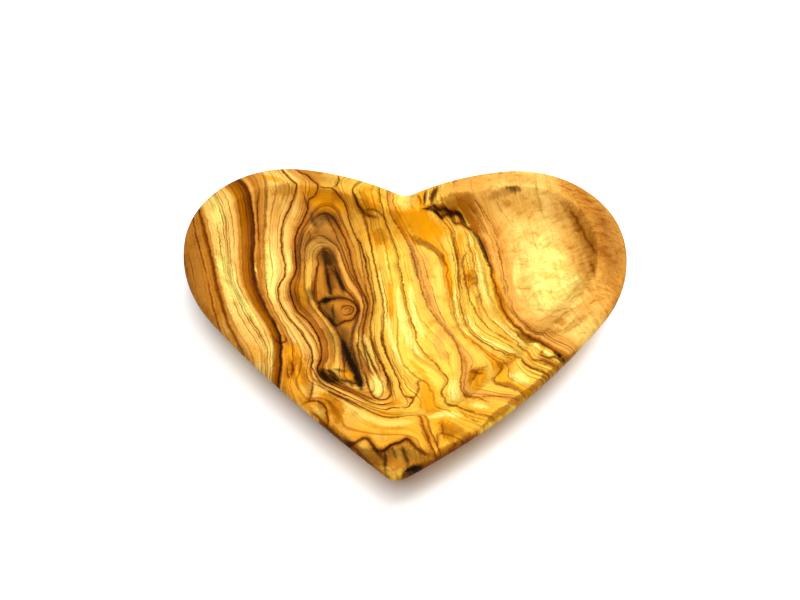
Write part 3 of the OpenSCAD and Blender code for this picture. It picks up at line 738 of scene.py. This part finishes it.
def smooth_line(points, step):
    """Even points along a smooth curve through the given ones."""
    points = np.array(points, dtype=float)
    ends = np.vstack([2 * points[0] - points[1], points, 2 * points[-1] - points[-2]])
    out = []
    for a, b, c, d in zip(ends, ends[1:], ends[2:], ends[3:]):
        count = max(2, int(np.hypot(*(c - b)) / step))
        t = np.linspace(0.0, 1.0, count, endpoint=False)[:, None]
        out.append(0.5 * (2 * b + (c - a) * t + (2 * a - 5 * b + 4 * c - d) * t ** 2
                          + (3 * b - a - 3 * c + d) * t ** 3))
    out.append(points[-1:])
    return np.vstack(out)


def thin_plate(gap):
    return np.where(gap > 0, gap ** 2 * np.log(np.maximum(gap, TINY)), 0.0)


# Sheet through the ring numbers: its unit in millimetres, its stiffness, the narrowest and widest ring in
# millimetres, and how many points are worked out at once
RING_REACH = 50.0
RING_STIFFNESS = 0.002
LEAST_SPREAD = 0.1
MOST_SPREAD = 5.0
POINTS_AT_ONCE = 8000


def ring_numbers(plan):
    """Smooth sheet through the growth lines: ring number, millimetres per ring, rings per step along X."""
    places = np.vstack([np.array(line[-1], dtype=float) for line in GROWTH_LINES]) / RING_REACH
    numbers = np.concatenate([np.full(len(line[-1]), line[0]) for line in GROWTH_LINES])
    count = len(places)
    flat = np.column_stack([np.ones(count), places])
    gaps = np.linalg.norm(places[:, None] - places[None], axis=2)
    system = np.zeros((count + 3, count + 3))
    system[:count, :count] = thin_plate(gaps) + RING_STIFFNESS * np.eye(count)
    system[:count, count:] = flat
    system[count:, :count] = flat.T
    weights = np.linalg.solve(system, np.concatenate([numbers, np.zeros(3)]))
    pulls, tilt = weights[:count], weights[count:]
    result = np.empty((len(plan), 3))
    for start in range(0, len(plan), POINTS_AT_ONCE):
        part = plan[start:start + POINTS_AT_ONCE] / RING_REACH
        ways = part[:, None] - places[None]
        gaps = np.linalg.norm(ways, axis=2)
        rings = thin_plate(gaps) @ pulls + np.column_stack([np.ones(len(part)), part]) @ tilt
        pull = (2 * np.log(np.maximum(gaps, TINY)) + 1) * pulls
        rise = ((ways * pull[:, :, None]).sum(axis=1) + tilt[1:]) / RING_REACH
        steepness = np.maximum(np.linalg.norm(rise, axis=1), TINY)
        spread = np.clip(1 / steepness, LEAST_SPREAD, MOST_SPREAD)
        result[start:start + POINTS_AT_ONCE] = np.column_stack([rings, spread, rise[:, 0]])
    return result


# Layers of drawn lines. In millimetres: room between the lines on one layer, reach of a line, length of the
# fade at its ends, and how far that fade has come at the very end
LINE_LAYERS = ("line_first", "line_second", "line_third", "line_fourth", "line_fifth", "line_sixth")
LINE_ROOM = 3.0
LINE_REACH = 3.0
LINE_END_FADE = 2.0
LINE_END_START = 0.3


def deal_out(lines):
    """Deals the lines out to layers, so that lines close to each other lie on different layers."""
    layers = [[] for _ in LINE_LAYERS]
    taken = [[] for _ in LINE_LAYERS]

    def gap_between(path, other):
        return np.hypot(*(path[:, None] - other[None]).T).min()

    for line in lines:
        path = smooth_line(line[-1], LINE_STEP)
        room = [min((gap_between(path, other) for other in others), default=FAR_OFF) for others in taken]
        choice = next((i for i, gap in enumerate(room) if gap > LINE_ROOM), int(np.argmax(room)))
        layers[choice].append(line)
        taken[choice].append(path)
    return layers


def near_box(plan, line, reach):
    """Which plan points lie within reach of the box round a line."""
    inside = (plan > line.min(axis=0) - reach) & (plan < line.max(axis=0) + reach)
    return np.all(inside, axis=1).nonzero()[0]


def touch_line(spots, line):
    """Nearest point of one line for each spot, its distance and its place along the line."""
    starts, ways = line[:-1], np.diff(line, axis=0)
    lengths = np.maximum((ways ** 2).sum(axis=1), TINY)
    best = np.full(len(spots), np.inf)
    touch = np.zeros((len(spots), 2))
    piece = np.zeros(len(spots), dtype=int)
    for index, (start, way, length) in enumerate(zip(starts, ways, lengths)):
        share = np.clip(((spots - start) @ way) / length, 0.0, 1.0)
        point = start + share[:, None] * way
        gap = np.hypot(*(spots - point).T)
        closer = gap < best
        best[closer] = gap[closer]
        touch[closer] = point[closer]
        piece[closer] = index
    return touch, best, piece


def nearest_on_lines(plan, lines):
    """Nearest point of a set of lines for each plan point, with that line's width and strength there."""
    result = np.column_stack([plan + FAR_OFF, np.ones(len(plan)), np.zeros(len(plan))])
    gaps = np.full(len(plan), FAR_OFF)
    for width, strength, points in lines:
        line = smooth_line(points, LINE_STEP)
        travel = np.concatenate([[0.0], np.cumsum(np.linalg.norm(np.diff(line, axis=0), axis=1))])
        from_end = np.minimum(travel, travel[-1] - travel)
        fade = np.clip((from_end + LINE_END_START) / LINE_END_FADE, 0.0, 1.0)
        near = near_box(plan, line, LINE_REACH)
        touch, gap, piece = touch_line(plan[near], line)
        closer = gap < gaps[near]
        near, touch, gap, piece = near[closer], touch[closer], gap[closer], piece[closer]
        gaps[near] = gap
        result[near, :2] = touch
        result[near, 2] = width
        result[near, 3] = strength * (fade[piece] + fade[piece + 1]) / 2
    return result, gaps


# Strokes: reach in half widths, loss of depth at the ends, depth of wood out of reach, and the groups
STROKE_REACH = 3.0
STROKE_TAPER = 0.8
UNTOUCHED = -2.0
STROKES = {"still": STILL_STROKES, "wash": WASH_STROKES, "tan": TAN_STROKES, "amber": AMBER_STROKES,
           "brown": BROWN_AND_SHADE_STROKES, "dusk": DUSK_STROKES, "cream": CREAM_STROKES, "smoke": SMOKE_STROKES,
           "black": BLACK_STROKES}


def stroke_depth(plan, strokes):
    """How deep each plan point lies in a stroke, 1 on its middle and 0 on its edge, and its strength."""
    depth = np.full(len(plan), UNTOUCHED)
    power = np.zeros(len(plan))
    for half_width, strength, points in strokes:
        line = smooth_line(points, STROKE_STEP)
        near = near_box(plan, line, STROKE_REACH * half_width)
        _, gap, piece = touch_line(plan[near], line)
        along = np.abs((piece + 0.5) / (len(line) - 1) * 2 - 1)
        here = 1 - gap / half_width - STROKE_TAPER * along ** 3
        deeper = here > depth[near]
        depth[near[deeper]] = here[deeper]
        power[near[deeper]] = strength
    return np.column_stack([depth, power, np.zeros(len(plan))])


def side_of_flame(plan):
    axis = np.array(FLAME_AXIS, dtype=float)[::-1]
    across = plan[:, 0] - np.interp(plan[:, 1], axis[:, 1], axis[:, 0])
    return 1 / (1 + np.exp(-across / SIDE_SOFTNESS))


ATTRIBUTE_FIELDS = {"FLOAT": "value", "FLOAT_VECTOR": "vector", "FLOAT_COLOR": "color"}


def store(mesh, name, kind, values):
    attribute = mesh.attributes.new(name, kind, "POINT")
    flat = np.ascontiguousarray(values, dtype=np.float32).ravel()
    attribute.data.foreach_set(ATTRIBUTE_FIELDS[kind], flat)


def draw_grain(mesh):
    """Keeps the grain, and the strokes and lines of painted shade, on the skin's points. The layers run
    straight down through the wood.
    """
    spots = np.empty(len(mesh.vertices) * 3, dtype=np.float32)
    mesh.vertices.foreach_get("co", spots)
    plan = spots.reshape(-1, 3)[:, :2].astype(float) / MM
    cos, sin = math.cos(GRAIN_TURN), math.sin(GRAIN_TURN)
    plan = plan @ np.array([[cos, sin], [-sin, cos]]) + GRAIN_SHIFT
    store(mesh, "rings", "FLOAT_VECTOR", ring_numbers(plan))
    store(mesh, "grain_plan", "FLOAT_VECTOR", np.column_stack([plan, np.zeros(len(plan))]))
    store(mesh, "side", "FLOAT", side_of_flame(plan))
    drawn = [line[1:] for line in GROWTH_LINES if line[2] > 0]
    for name, lines in zip(LINE_LAYERS, deal_out(drawn + list(VEINS_AND_SHADE_LINES))):
        nearest, gaps = nearest_on_lines(plan, lines)
        store(mesh, name, "FLOAT_COLOR", nearest)
        store(mesh, name + "_gap", "FLOAT", gaps)
    for name, strokes in STROKES.items():
        store(mesh, name, "FLOAT_VECTOR", stroke_depth(plan, strokes))


# Share of the light that the wood gives back, next to white paper
WOOD_TONE = 0.69


def linear(colour):
    return tuple(WOOD_TONE * part for part in Color(colour).from_srgb_to_scene_linear()) + (1.0,)


# Shares of red, green and blue that are left in deeper and paler wood, beside a dark line and on a hairline
DEEPER = (0.66, 0.49, 0.18, 1.0)
PALER = (1.08, 1.16, 1.28, 1.0)
FRINGE = (0.60, 0.36, 0.08, 1.0)
HAIRLINE = (0.38, 0.20, 0.04, 1.0)

# Noises in the wood: scale, detail and roughness
BROAD_WAVER = (0.35, 2.0, 0.5)
SMALL_WAVER = (1.4, 3.0, 0.5)
FRAYED_FIBRES = (1.0, 4.0, 0.6)
STREAKS = (1.0, 5.0, 0.7)
FINE_FIBRES = (1.0, 3.0, 0.6)
CLOUDS = (0.2, 5.0, 0.6)
CURLS = (0.12, 2.0, 0.5)
RIPPLES = (1.0, 5.0, 0.65)
FLECKS = (1.0, 4.0, 0.65)
SPECKS = (2.0, 2.0, 0.5)
HAIR_BREAKS = (1.0, 2.0, 0.5)
LINE_FRAY = (1.3, 4.0, 0.6)
LINE_FADING = (0.13, 3.0, 0.5)
PORES = (1.0, 2.0, 0.7)

# How closely a noise along the grain is packed, across it and along it
FRAYED_PACKING = (1.6, 0.12)
STREAK_PACKING = (1.3, 0.03)
FIBRE_PACKING = (7.0, 0.1)
HAIR_PACKING = (1.0, 0.07)
PORE_PACKING = (3.2, 0.55)

# Slant of the right lobe's ripples and flecks: shares of X and Y in each direction, and the curl's bend
RIPPLE_SLANT = ((0.22, 0.08), (-0.14, 0.5))
FLECK_SLANT = ((0.28, -0.1), (0.3, 0.85))
CURL_BEND = 5.0

# Where a noise makes the wood deeper, then paler: start, end and greatest share
STREAK_TONES = ((0.5, 0.72, 0.75), (0.46, 0.28, 1.0))
FIBRE_TONES = ((0.5, 0.75, 0.7), (0.45, 0.25, 1.0))
CLOUD_TONES = ((0.5, 0.7, 0.6), (0.46, 0.3, 0.8))
RIPPLE_TONES = ((0.5, 0.66, 0.65), (0.48, 0.36, 0.8))
FLECK_TONES = ((0.5, 0.64, 0.7),)
SPECK_TONES = ((0.52, 0.68, 0.5),)

# Where a part of the dish starts and where it is whole: the right part by X, the others by ring number
RIGHT_PART = (-10.0, 8.0)
RIGHT_LOBE = (1.5, -1.0)
RIGHT_RIM = (-6.0, -8.0)
LEFT_RIM = (9.0, 6.0)

# Share of the fine lines that the right lobe lacks
LOBE_CALM = 0.75

# Waver of the rings and lines in millimetres: broad, more of it on the right part, and small
BROAD_SWAY = 0.9
RIGHT_SWAY = 0.9
SMALL_SWAY = 0.3

# Paint of each group of strokes, softness of its edge and fraying, in the order of painting
PAINTS = {"tan": (PALE_TAN, 0.6, 1.0), "wash": (AMBER, 0.6, 1.0), "amber": (AMBER, 0.35, 1.0),
          "dusk": (DUSK, 0.6, 1.0), "cream": (CREAM, 0.35, 1.0), "brown": (BROWN, 0.35, 1.0)}
DARK_PAINTS = {"smoke": (SMOKE, 0.8, 0.5), "black": (HEART_BLACK, 0.5, 0.5)}

# Edge and fraying of the plain patches, depth at the edge of a stroke, and how far the fibres fray it
STILL_EDGE = (0.4, 0.3)
STROKE_LEVEL = 0.2
FRAYED_SHARE = 1.8

# Hairlines: lines per ring, half width in millimetres and strength
HAIRLINES = ((0.9, 0.3, 0.85), (2.3, 0.18, 1.0))

# Chance and breaks that make a hairline stronger, its least strength, its greatest half width as a share of
# the step to the next one, and its soft edge in half widths
HAIR_LUCK = (0.25, 1.0)
HAIR_FADE = (0.35, 0.6)
FAINTEST_HAIR = 0.15
WIDEST_HAIR = 0.3
HAIR_EDGE = (1.4, 0.3)

# Dark lines: share of the drawn half width, fraying and least half width in millimetres, soft edge in half
# widths, nearness in millimetres, and fading along the way
LINE_WIDTH = 0.8
LINE_FRAY_WIDTH = 0.36
LEAST_WIDTH = 0.12
LINE_EDGE = (1.35, 0.55)
LINE_NEAR = (1.7, 1.0)
LINE_FADE = (0.35, 0.6, 0.8, 1.0)

# Halo of a dark line in half widths, and shade on one side of it in millimetres, with their greatest shares
HALO_EDGE = (3.0, 0.9)
HALO_SHARE = 0.75
SHADE_ACROSS = (-0.2, 0.3)
SHADE_REACH = (1.7, 0.1)
SHADE_SHARE = 0.65

# Pores, as shares and metres, and the oiled surface
PORE_EDGE = (0.62, 0.74)
PORE_TINT = 0.4
PORE_ROUGHNESS = 0.12
PORE_DEPTH = 0.05 * MM
PORE_BUMP = 0.25
STREAK_ROUGHNESS = (0.3, 0.7, 0.48, 0.58)
WOOD_IOR = 1.45
WOOD_SPECULAR = 0.02


class WoodNodes:
    """Adds nodes to one material and wires them as it goes."""

    def __init__(self, material):
        material.use_nodes = True
        self.tree = material.node_tree
        self.shader = self.tree.nodes["Principled BSDF"]

    def add(self, kind, **settings):
        node = self.tree.nodes.new(kind)
        for name, value in settings.items():
            setattr(node, name, value)
        return node

    def feed(self, socket, value):
        if isinstance(value, bpy.types.NodeSocket):
            self.tree.links.new(value, socket)
        else:
            socket.default_value = value

    def feed_in_turn(self, sockets, values):
        for socket, value in zip(sockets, values):
            self.feed(socket, value)

    def math(self, operation, *values):
        node = self.add("ShaderNodeMath", operation=operation)
        self.feed_in_turn(node.inputs, values)
        return node.outputs[0]

    def times(self, first, *others):
        for other in others:
            first = self.math("MULTIPLY", first, other)
        return first

    def weighed(self, a, share_a, b, share_b):
        return self.math("MULTIPLY_ADD", a, share_a, self.times(b, share_b))

    def rest_of(self, share):
        return self.math("SUBTRACT", 1.0, share)

    def vector_math(self, operation, *values):
        node = self.add("ShaderNodeVectorMath", operation=operation)
        self.feed_in_turn(node.inputs, values)
        return node.outputs["Value" if operation == "LENGTH" else "Vector"]

    def attribute(self, name):
        return self.add("ShaderNodeAttribute", attribute_name=name)

    def join(self, x, y, z=0.0):
        node = self.add("ShaderNodeCombineXYZ")
        self.feed_in_turn(node.inputs, (x, y, z))
        return node.outputs[0]

    def split(self, vector):
        node = self.add("ShaderNodeSeparateXYZ")
        self.feed(node.inputs[0], vector)
        return node.outputs

    def noise(self, vector, scale, detail, roughness):
        node = self.add("ShaderNodeTexNoise", noise_dimensions="3D")
        inputs = (node.inputs[name] for name in ("Vector", "Scale", "Detail", "Roughness"))
        self.feed_in_turn(inputs, (vector, scale, detail, roughness))
        return node.outputs["Fac"]

    def swing(self, vector, *look):
        """Noise that swings round zero."""
        return self.math("SUBTRACT", self.noise(vector, *look), 0.5)

    def ease(self, value, start, end, low=0.0, high=1.0):
        node = self.add("ShaderNodeMapRange", interpolation_type="SMOOTHSTEP")
        self.feed_in_turn(node.inputs, (value, start, end, low, high))
        return node.outputs["Result"]

    def ramp(self, factor, stops):
        node = self.add("ShaderNodeValToRGB")
        self.feed(node.inputs["Fac"], factor)
        elements = node.color_ramp.elements
        while len(elements) < len(stops):
            elements.new(1.0)
        low, high = RING_SPAN
        for element, (ring, colour) in zip(elements, stops):
            element.position = (ring - low) / (high - low)
            element.color = linear(colour)
        return node.outputs["Color"]

    def mix(self, share, a, b, way="MIX"):
        node = self.add("ShaderNodeMix", data_type="RGBA", blend_type=way)
        self.feed(node.inputs["Factor"], share)
        self.feed_in_turn((s for s in node.inputs if s.type == "RGBA"), (a, b))
        return next(s for s in node.outputs if s.type == "RGBA")

    def tint(self, colour, shares, amount):
        return self.mix(amount, colour, shares, "MULTIPLY")


class OliveWood(WoodNodes):
    """The oiled wood. Each step takes the colour so far and gives it back with one more trait."""

    def __init__(self, material):
        super().__init__(material)
        plan = self.attribute("grain_plan").outputs["Vector"]
        self.x, self.y, _ = self.split(plan)
        self.side = self.attribute("side").outputs["Fac"]
        self.number, self.spread, slope = self.split(self.attribute("rings").outputs["Vector"])
        self.right_part = self.ease(self.x, *RIGHT_PART)

        # Rings and lines share one waver, so that no line is drawn with a ruler
        small = self.swing(plan, *SMALL_WAVER)
        sway = self.math("MULTIPLY_ADD", self.right_part, RIGHT_SWAY, BROAD_SWAY)
        waver = self.weighed(small, SMALL_SWAY, self.swing(plan, *BROAD_WAVER), sway)
        self.ring = self.math("MULTIPLY_ADD", waver, slope, self.number)
        self.plan = self.vector_math("ADD", plan, self.join(waver, 0.0))

        # Masks: frayed edges of the strokes, plain patches, right lobe, and wood with fewer fine lines
        frayed = self.swing(self.along_grain(FRAYED_PACKING), *FRAYED_FIBRES)
        self.ragged = self.math("MULTIPLY_ADD", frayed, FRAYED_SHARE, small)
        self.stir = self.rest_of(self.stroke_share("still", *STILL_EDGE))
        self.lobe = self.times(self.ease(self.number, *RIGHT_LOBE), self.side)
        self.calm = self.times(self.stir, self.math("MULTIPLY_ADD", self.lobe, -LOBE_CALM, 1.0))
        self.streaks = self.noise(self.along_grain(STREAK_PACKING), *STREAKS)
        pore_place = self.packed(self.x, PORE_PACKING)
        self.pores = self.ease(self.noise(pore_place, *PORES), *PORE_EDGE)

    def packed(self, across, packing):
        """Place for a noise that is packed closely across the grain and loosely along it."""
        return self.join(self.times(across, packing[0]), self.times(self.y, packing[1]))

    def along_grain(self, packing):
        return self.packed(self.ring, packing)

    def slanted(self, slant):
        return [self.weighed(self.x, share_x, self.y, share_y) for share_x, share_y in slant]

    def stroke_share(self, name, edge, fraying):
        """Share of a group of strokes, with soft edges that fray along the grain."""
        depth, power, _ = self.split(self.attribute(name).outputs["Vector"])
        depth = self.math("MULTIPLY_ADD", self.ragged, fraying, depth)
        return self.times(self.ease(depth, STROKE_LEVEL - edge, STROKE_LEVEL + edge), power)

    def tones(self, colour, noise, steps, mask):
        """Deeper wood where a noise is high, and paler wood where it is low."""
        for shares, (start, end, most) in zip((DEEPER, PALER), steps):
            amount = self.times(mask, self.ease(noise, start, end, 0.0, most))
            colour = self.tint(colour, shares, amount)
        return colour

    def ring_colours(self):
        """Broad colour of the rings on either side of the flame."""
        low, high = RING_SPAN
        place = self.math("DIVIDE", self.math("SUBTRACT", self.ring, low), high - low)
        return self.mix(self.side, self.ramp(place, LEFT_RINGS), self.ramp(place, RIGHT_RINGS))

    def strokes(self, colour, paints):
        for name, (paint, edge, fraying) in paints.items():
            colour = self.mix(self.stroke_share(name, edge, fraying), colour, linear(paint))
        return colour

    def fibres(self, colour):
        """Streaks and fine fibres along the rings, and clouds over them."""
        colour = self.tones(colour, self.streaks, STREAK_TONES, self.stir)
        fine = self.noise(self.along_grain(FIBRE_PACKING), *FINE_FIBRES)
        colour = self.tones(colour, fine, FIBRE_TONES, self.calm)
        return self.tones(colour, self.noise(self.plan, *CLOUDS), CLOUD_TONES, 1.0)

    def figure(self, colour):
        """Curled ripples on the right lobe, flecks on its rim and specks on the left rim."""
        across, along = self.slanted(RIPPLE_SLANT)
        along = self.math("MULTIPLY_ADD", self.noise(self.plan, *CURLS), CURL_BEND, along)
        ripples = self.noise(self.join(across, along), *RIPPLES)
        colour = self.tones(colour, ripples, RIPPLE_TONES, self.lobe)
        flecks = self.noise(self.join(*self.slanted(FLECK_SLANT)), *FLECKS)
        right_rim = self.times(self.lobe, self.ease(self.number, *RIGHT_RIM))
        colour = self.tones(colour, flecks, FLECK_TONES, right_rim)
        left_rim = self.times(self.ease(self.number, *LEFT_RIM), self.rest_of(self.side))
        return self.tones(colour, self.noise(self.plan, *SPECKS), SPECK_TONES, left_rim)

    def hairlines(self, colour, per_ring, half_width, share):
        """Thin late wood at odd distances, each line with its own strength, fading along its way."""
        count = self.times(self.ring, per_ring)
        order = self.math("FLOOR", count)
        luck = self.add("ShaderNodeTexWhiteNoise", noise_dimensions="1D")
        self.feed(luck.inputs["W"], order)
        step = self.math("DIVIDE", self.spread, per_ring)
        offset = self.math("ABSOLUTE", self.math("SUBTRACT", self.math("FRACT", count), 0.5))
        width = self.math("MINIMUM", self.times(step, WIDEST_HAIR), half_width)
        line = self.ease(self.math("DIVIDE", self.times(offset, step), width), *HAIR_EDGE)
        breaks = self.noise(self.packed(order, HAIR_PACKING), *HAIR_BREAKS)
        fading = self.ease(breaks, *HAIR_FADE, FAINTEST_HAIR, share)
        strength = self.times(self.ease(luck.outputs["Value"], *HAIR_LUCK), fading, self.calm)
        return self.tint(colour, HAIRLINE, self.times(line, strength))

    def dark_lines(self, colour):
        """Growth lines, veins and lines of painted shade by the distance to the nearest, with a halo and a
        shade on one side.
        """
        fray = self.times(self.swing(self.plan, *LINE_FRAY), LINE_FRAY_WIDTH)
        fading = self.ease(self.noise(self.plan, *LINE_FADING), *LINE_FADE)
        paint = self.mix(self.right_part, linear(DARK_LINE), linear(RED_BROWN))
        shaded_side = -1.0
        for name in LINE_LAYERS:
            nearest = self.attribute(name)
            near_x, near_y, half_width = self.split(nearest.outputs["Vector"])
            offset = self.vector_math("SUBTRACT", self.plan, self.join(near_x, near_y))
            gap = self.vector_math("LENGTH", offset)
            width = self.math("MULTIPLY_ADD", half_width, LINE_WIDTH, fray)
            share = self.math("DIVIDE", gap, self.math("MAXIMUM", width, LEAST_WIDTH))
            near = self.ease(self.attribute(name + "_gap").outputs["Fac"], *LINE_NEAR)
            strength = self.times(nearest.outputs["Alpha"], near, fading)
            across = self.times(self.split(offset)[0], shaded_side)
            beside = self.ease(gap, *SHADE_REACH, 0.0, SHADE_SHARE)
            shade = self.times(self.ease(across, *SHADE_ACROSS), beside, strength)
            colour = self.tint(colour, DEEPER, shade)
            halo = self.times(self.ease(share, *HALO_EDGE), strength, HALO_SHARE)
            colour = self.tint(colour, FRINGE, halo)
            line = self.times(self.ease(share, *LINE_EDGE), strength)
            colour = self.mix(line, colour, paint)
            shaded_side = -shaded_side
        return colour

    def surface(self, colour):
        """Pores as short dark dashes along the grain, and the oiled surface."""
        colour = self.mix(self.times(self.pores, self.calm, PORE_TINT), colour, linear(BROWN))
        self.feed(self.shader.inputs["Base Color"], colour)
        oiled = self.ease(self.streaks, *STREAK_ROUGHNESS)
        roughness = self.math("MULTIPLY_ADD", self.pores, PORE_ROUGHNESS, oiled)
        self.feed(self.shader.inputs["Roughness"], roughness)
        bump = self.add("ShaderNodeBump")
        bump.inputs["Strength"].default_value = PORE_BUMP
        bump.inputs["Distance"].default_value = PORE_DEPTH
        self.feed(bump.inputs["Height"], self.rest_of(self.pores))
        self.feed(self.shader.inputs["Normal"], bump.outputs["Normal"])
        self.shader.inputs["IOR"].default_value = WOOD_IOR
        self.shader.inputs["Specular IOR Level"].default_value = WOOD_SPECULAR


def olive_wood():
    material = bpy.data.materials.new("olive_wood_oiled")
    wood = OliveWood(material)
    colour = wood.ring_colours()
    # Strokes of colour, among them the brown strokes of painted shade
    colour = wood.strokes(colour, PAINTS)
    colour = wood.fibres(colour)
    colour = wood.figure(colour)
    for per_ring, half_width, share in HAIRLINES:
        colour = wood.hairlines(colour, per_ring, half_width, share)
    colour = wood.dark_lines(colour)
    colour = wood.strokes(colour, DARK_PAINTS)
    wood.surface(colour)
    return material


def add_object(name, data):
    thing = bpy.data.objects.new(name, data)
    bpy.context.scene.collection.objects.link(thing)
    return thing


def make_dish():
    mesh = carved_skin()
    draw_grain(mesh)
    mesh.materials.append(olive_wood())
    dish = add_object("dish_wood", mesh)
    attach(dish, "root")
    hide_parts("dish")


# White paper under the dish: half its side in metres, colour and roughness
PAPER_HALF = 3.0
PAPER_WHITE = (0.93, 0.93, 0.92, 1.0)
PAPER_ROUGHNESS = 0.8


def make_floor():
    bm = bmesh.new()
    bmesh.ops.create_grid(bm, x_segments=1, y_segments=1, size=PAPER_HALF)
    mesh = bpy.data.meshes.new("studio_floor")
    bm.to_mesh(mesh)
    bm.free()
    paper = bpy.data.materials.new("white_paper")
    paper.use_nodes = True
    shader = paper.node_tree.nodes["Principled BSDF"]
    shader.inputs["Base Color"].default_value = PAPER_WHITE
    shader.inputs["Roughness"].default_value = PAPER_ROUGHNESS
    mesh.materials.append(paper)
    floor = add_object("studio_floor", mesh)


# Soft lights of the studio, turned to the origin: name, place and side in metres, and power in watts
SOFTBOXES = (
    ("front", (-0.07, -0.27, 0.96), 0.6, 12.5),
    ("back", (0.4, 0.5, 0.77), 0.8, 11.0),
)
SKY_WHITE = (1.0, 1.0, 1.0, 1.0)
SKY_STRENGTH = 0.15


def make_lights():
    for name, place, side, power in SOFTBOXES:
        lamp = bpy.data.lights.new(name, "AREA")
        lamp.size = side
        lamp.energy = power
        box = add_object(name, lamp)
        box.location = place
        box.rotation_euler = Vector(place).to_track_quat("Z", "Y").to_euler()
    world = bpy.data.worlds.new("studio")
    world.use_nodes = True
    sky = world.node_tree.nodes["Background"]
    sky.inputs["Color"].default_value = SKY_WHITE
    sky.inputs["Strength"].default_value = SKY_STRENGTH
    bpy.context.scene.world = world
    bpy.context.scene.view_settings.view_transform = "Standard"


def make_camera():
    back = Vector((math.sin(VIEW_TURN) * math.cos(VIEW_ELEVATION),
                   -math.cos(VIEW_TURN) * math.cos(VIEW_ELEVATION),
                   math.sin(VIEW_ELEVATION)))
    level = Vector((math.cos(VIEW_TURN), math.sin(VIEW_TURN), 0.0))
    rise = back.cross(level)
    right = level * math.cos(VIEW_ROLL) + rise * math.sin(VIEW_ROLL)
    up = rise * math.cos(VIEW_ROLL) - level * math.sin(VIEW_ROLL)
    lens = bpy.data.cameras.new("photo_camera")
    lens.sensor_width = SENSOR_MM
    lens.lens = PIXELS_PER_MM * (VIEW_DISTANCE / MM) * SENSOR_MM / FRAME_PIXELS
    lens.shift_x = -AIM_OFFSET_PIXELS[0] / FRAME_PIXELS
    lens.shift_y = AIM_OFFSET_PIXELS[1] / FRAME_PIXELS
    lens.clip_start = NEAR_CLIP
    camera = add_object("photo_camera", lens)
    turn = Matrix((right, up, back)).transposed().to_4x4()
    camera.matrix_world = Matrix.Translation(AIM + back * VIEW_DISTANCE) @ turn
    bpy.context.scene.camera = camera


make_camera()
make_dish()
make_floor()
make_lights()
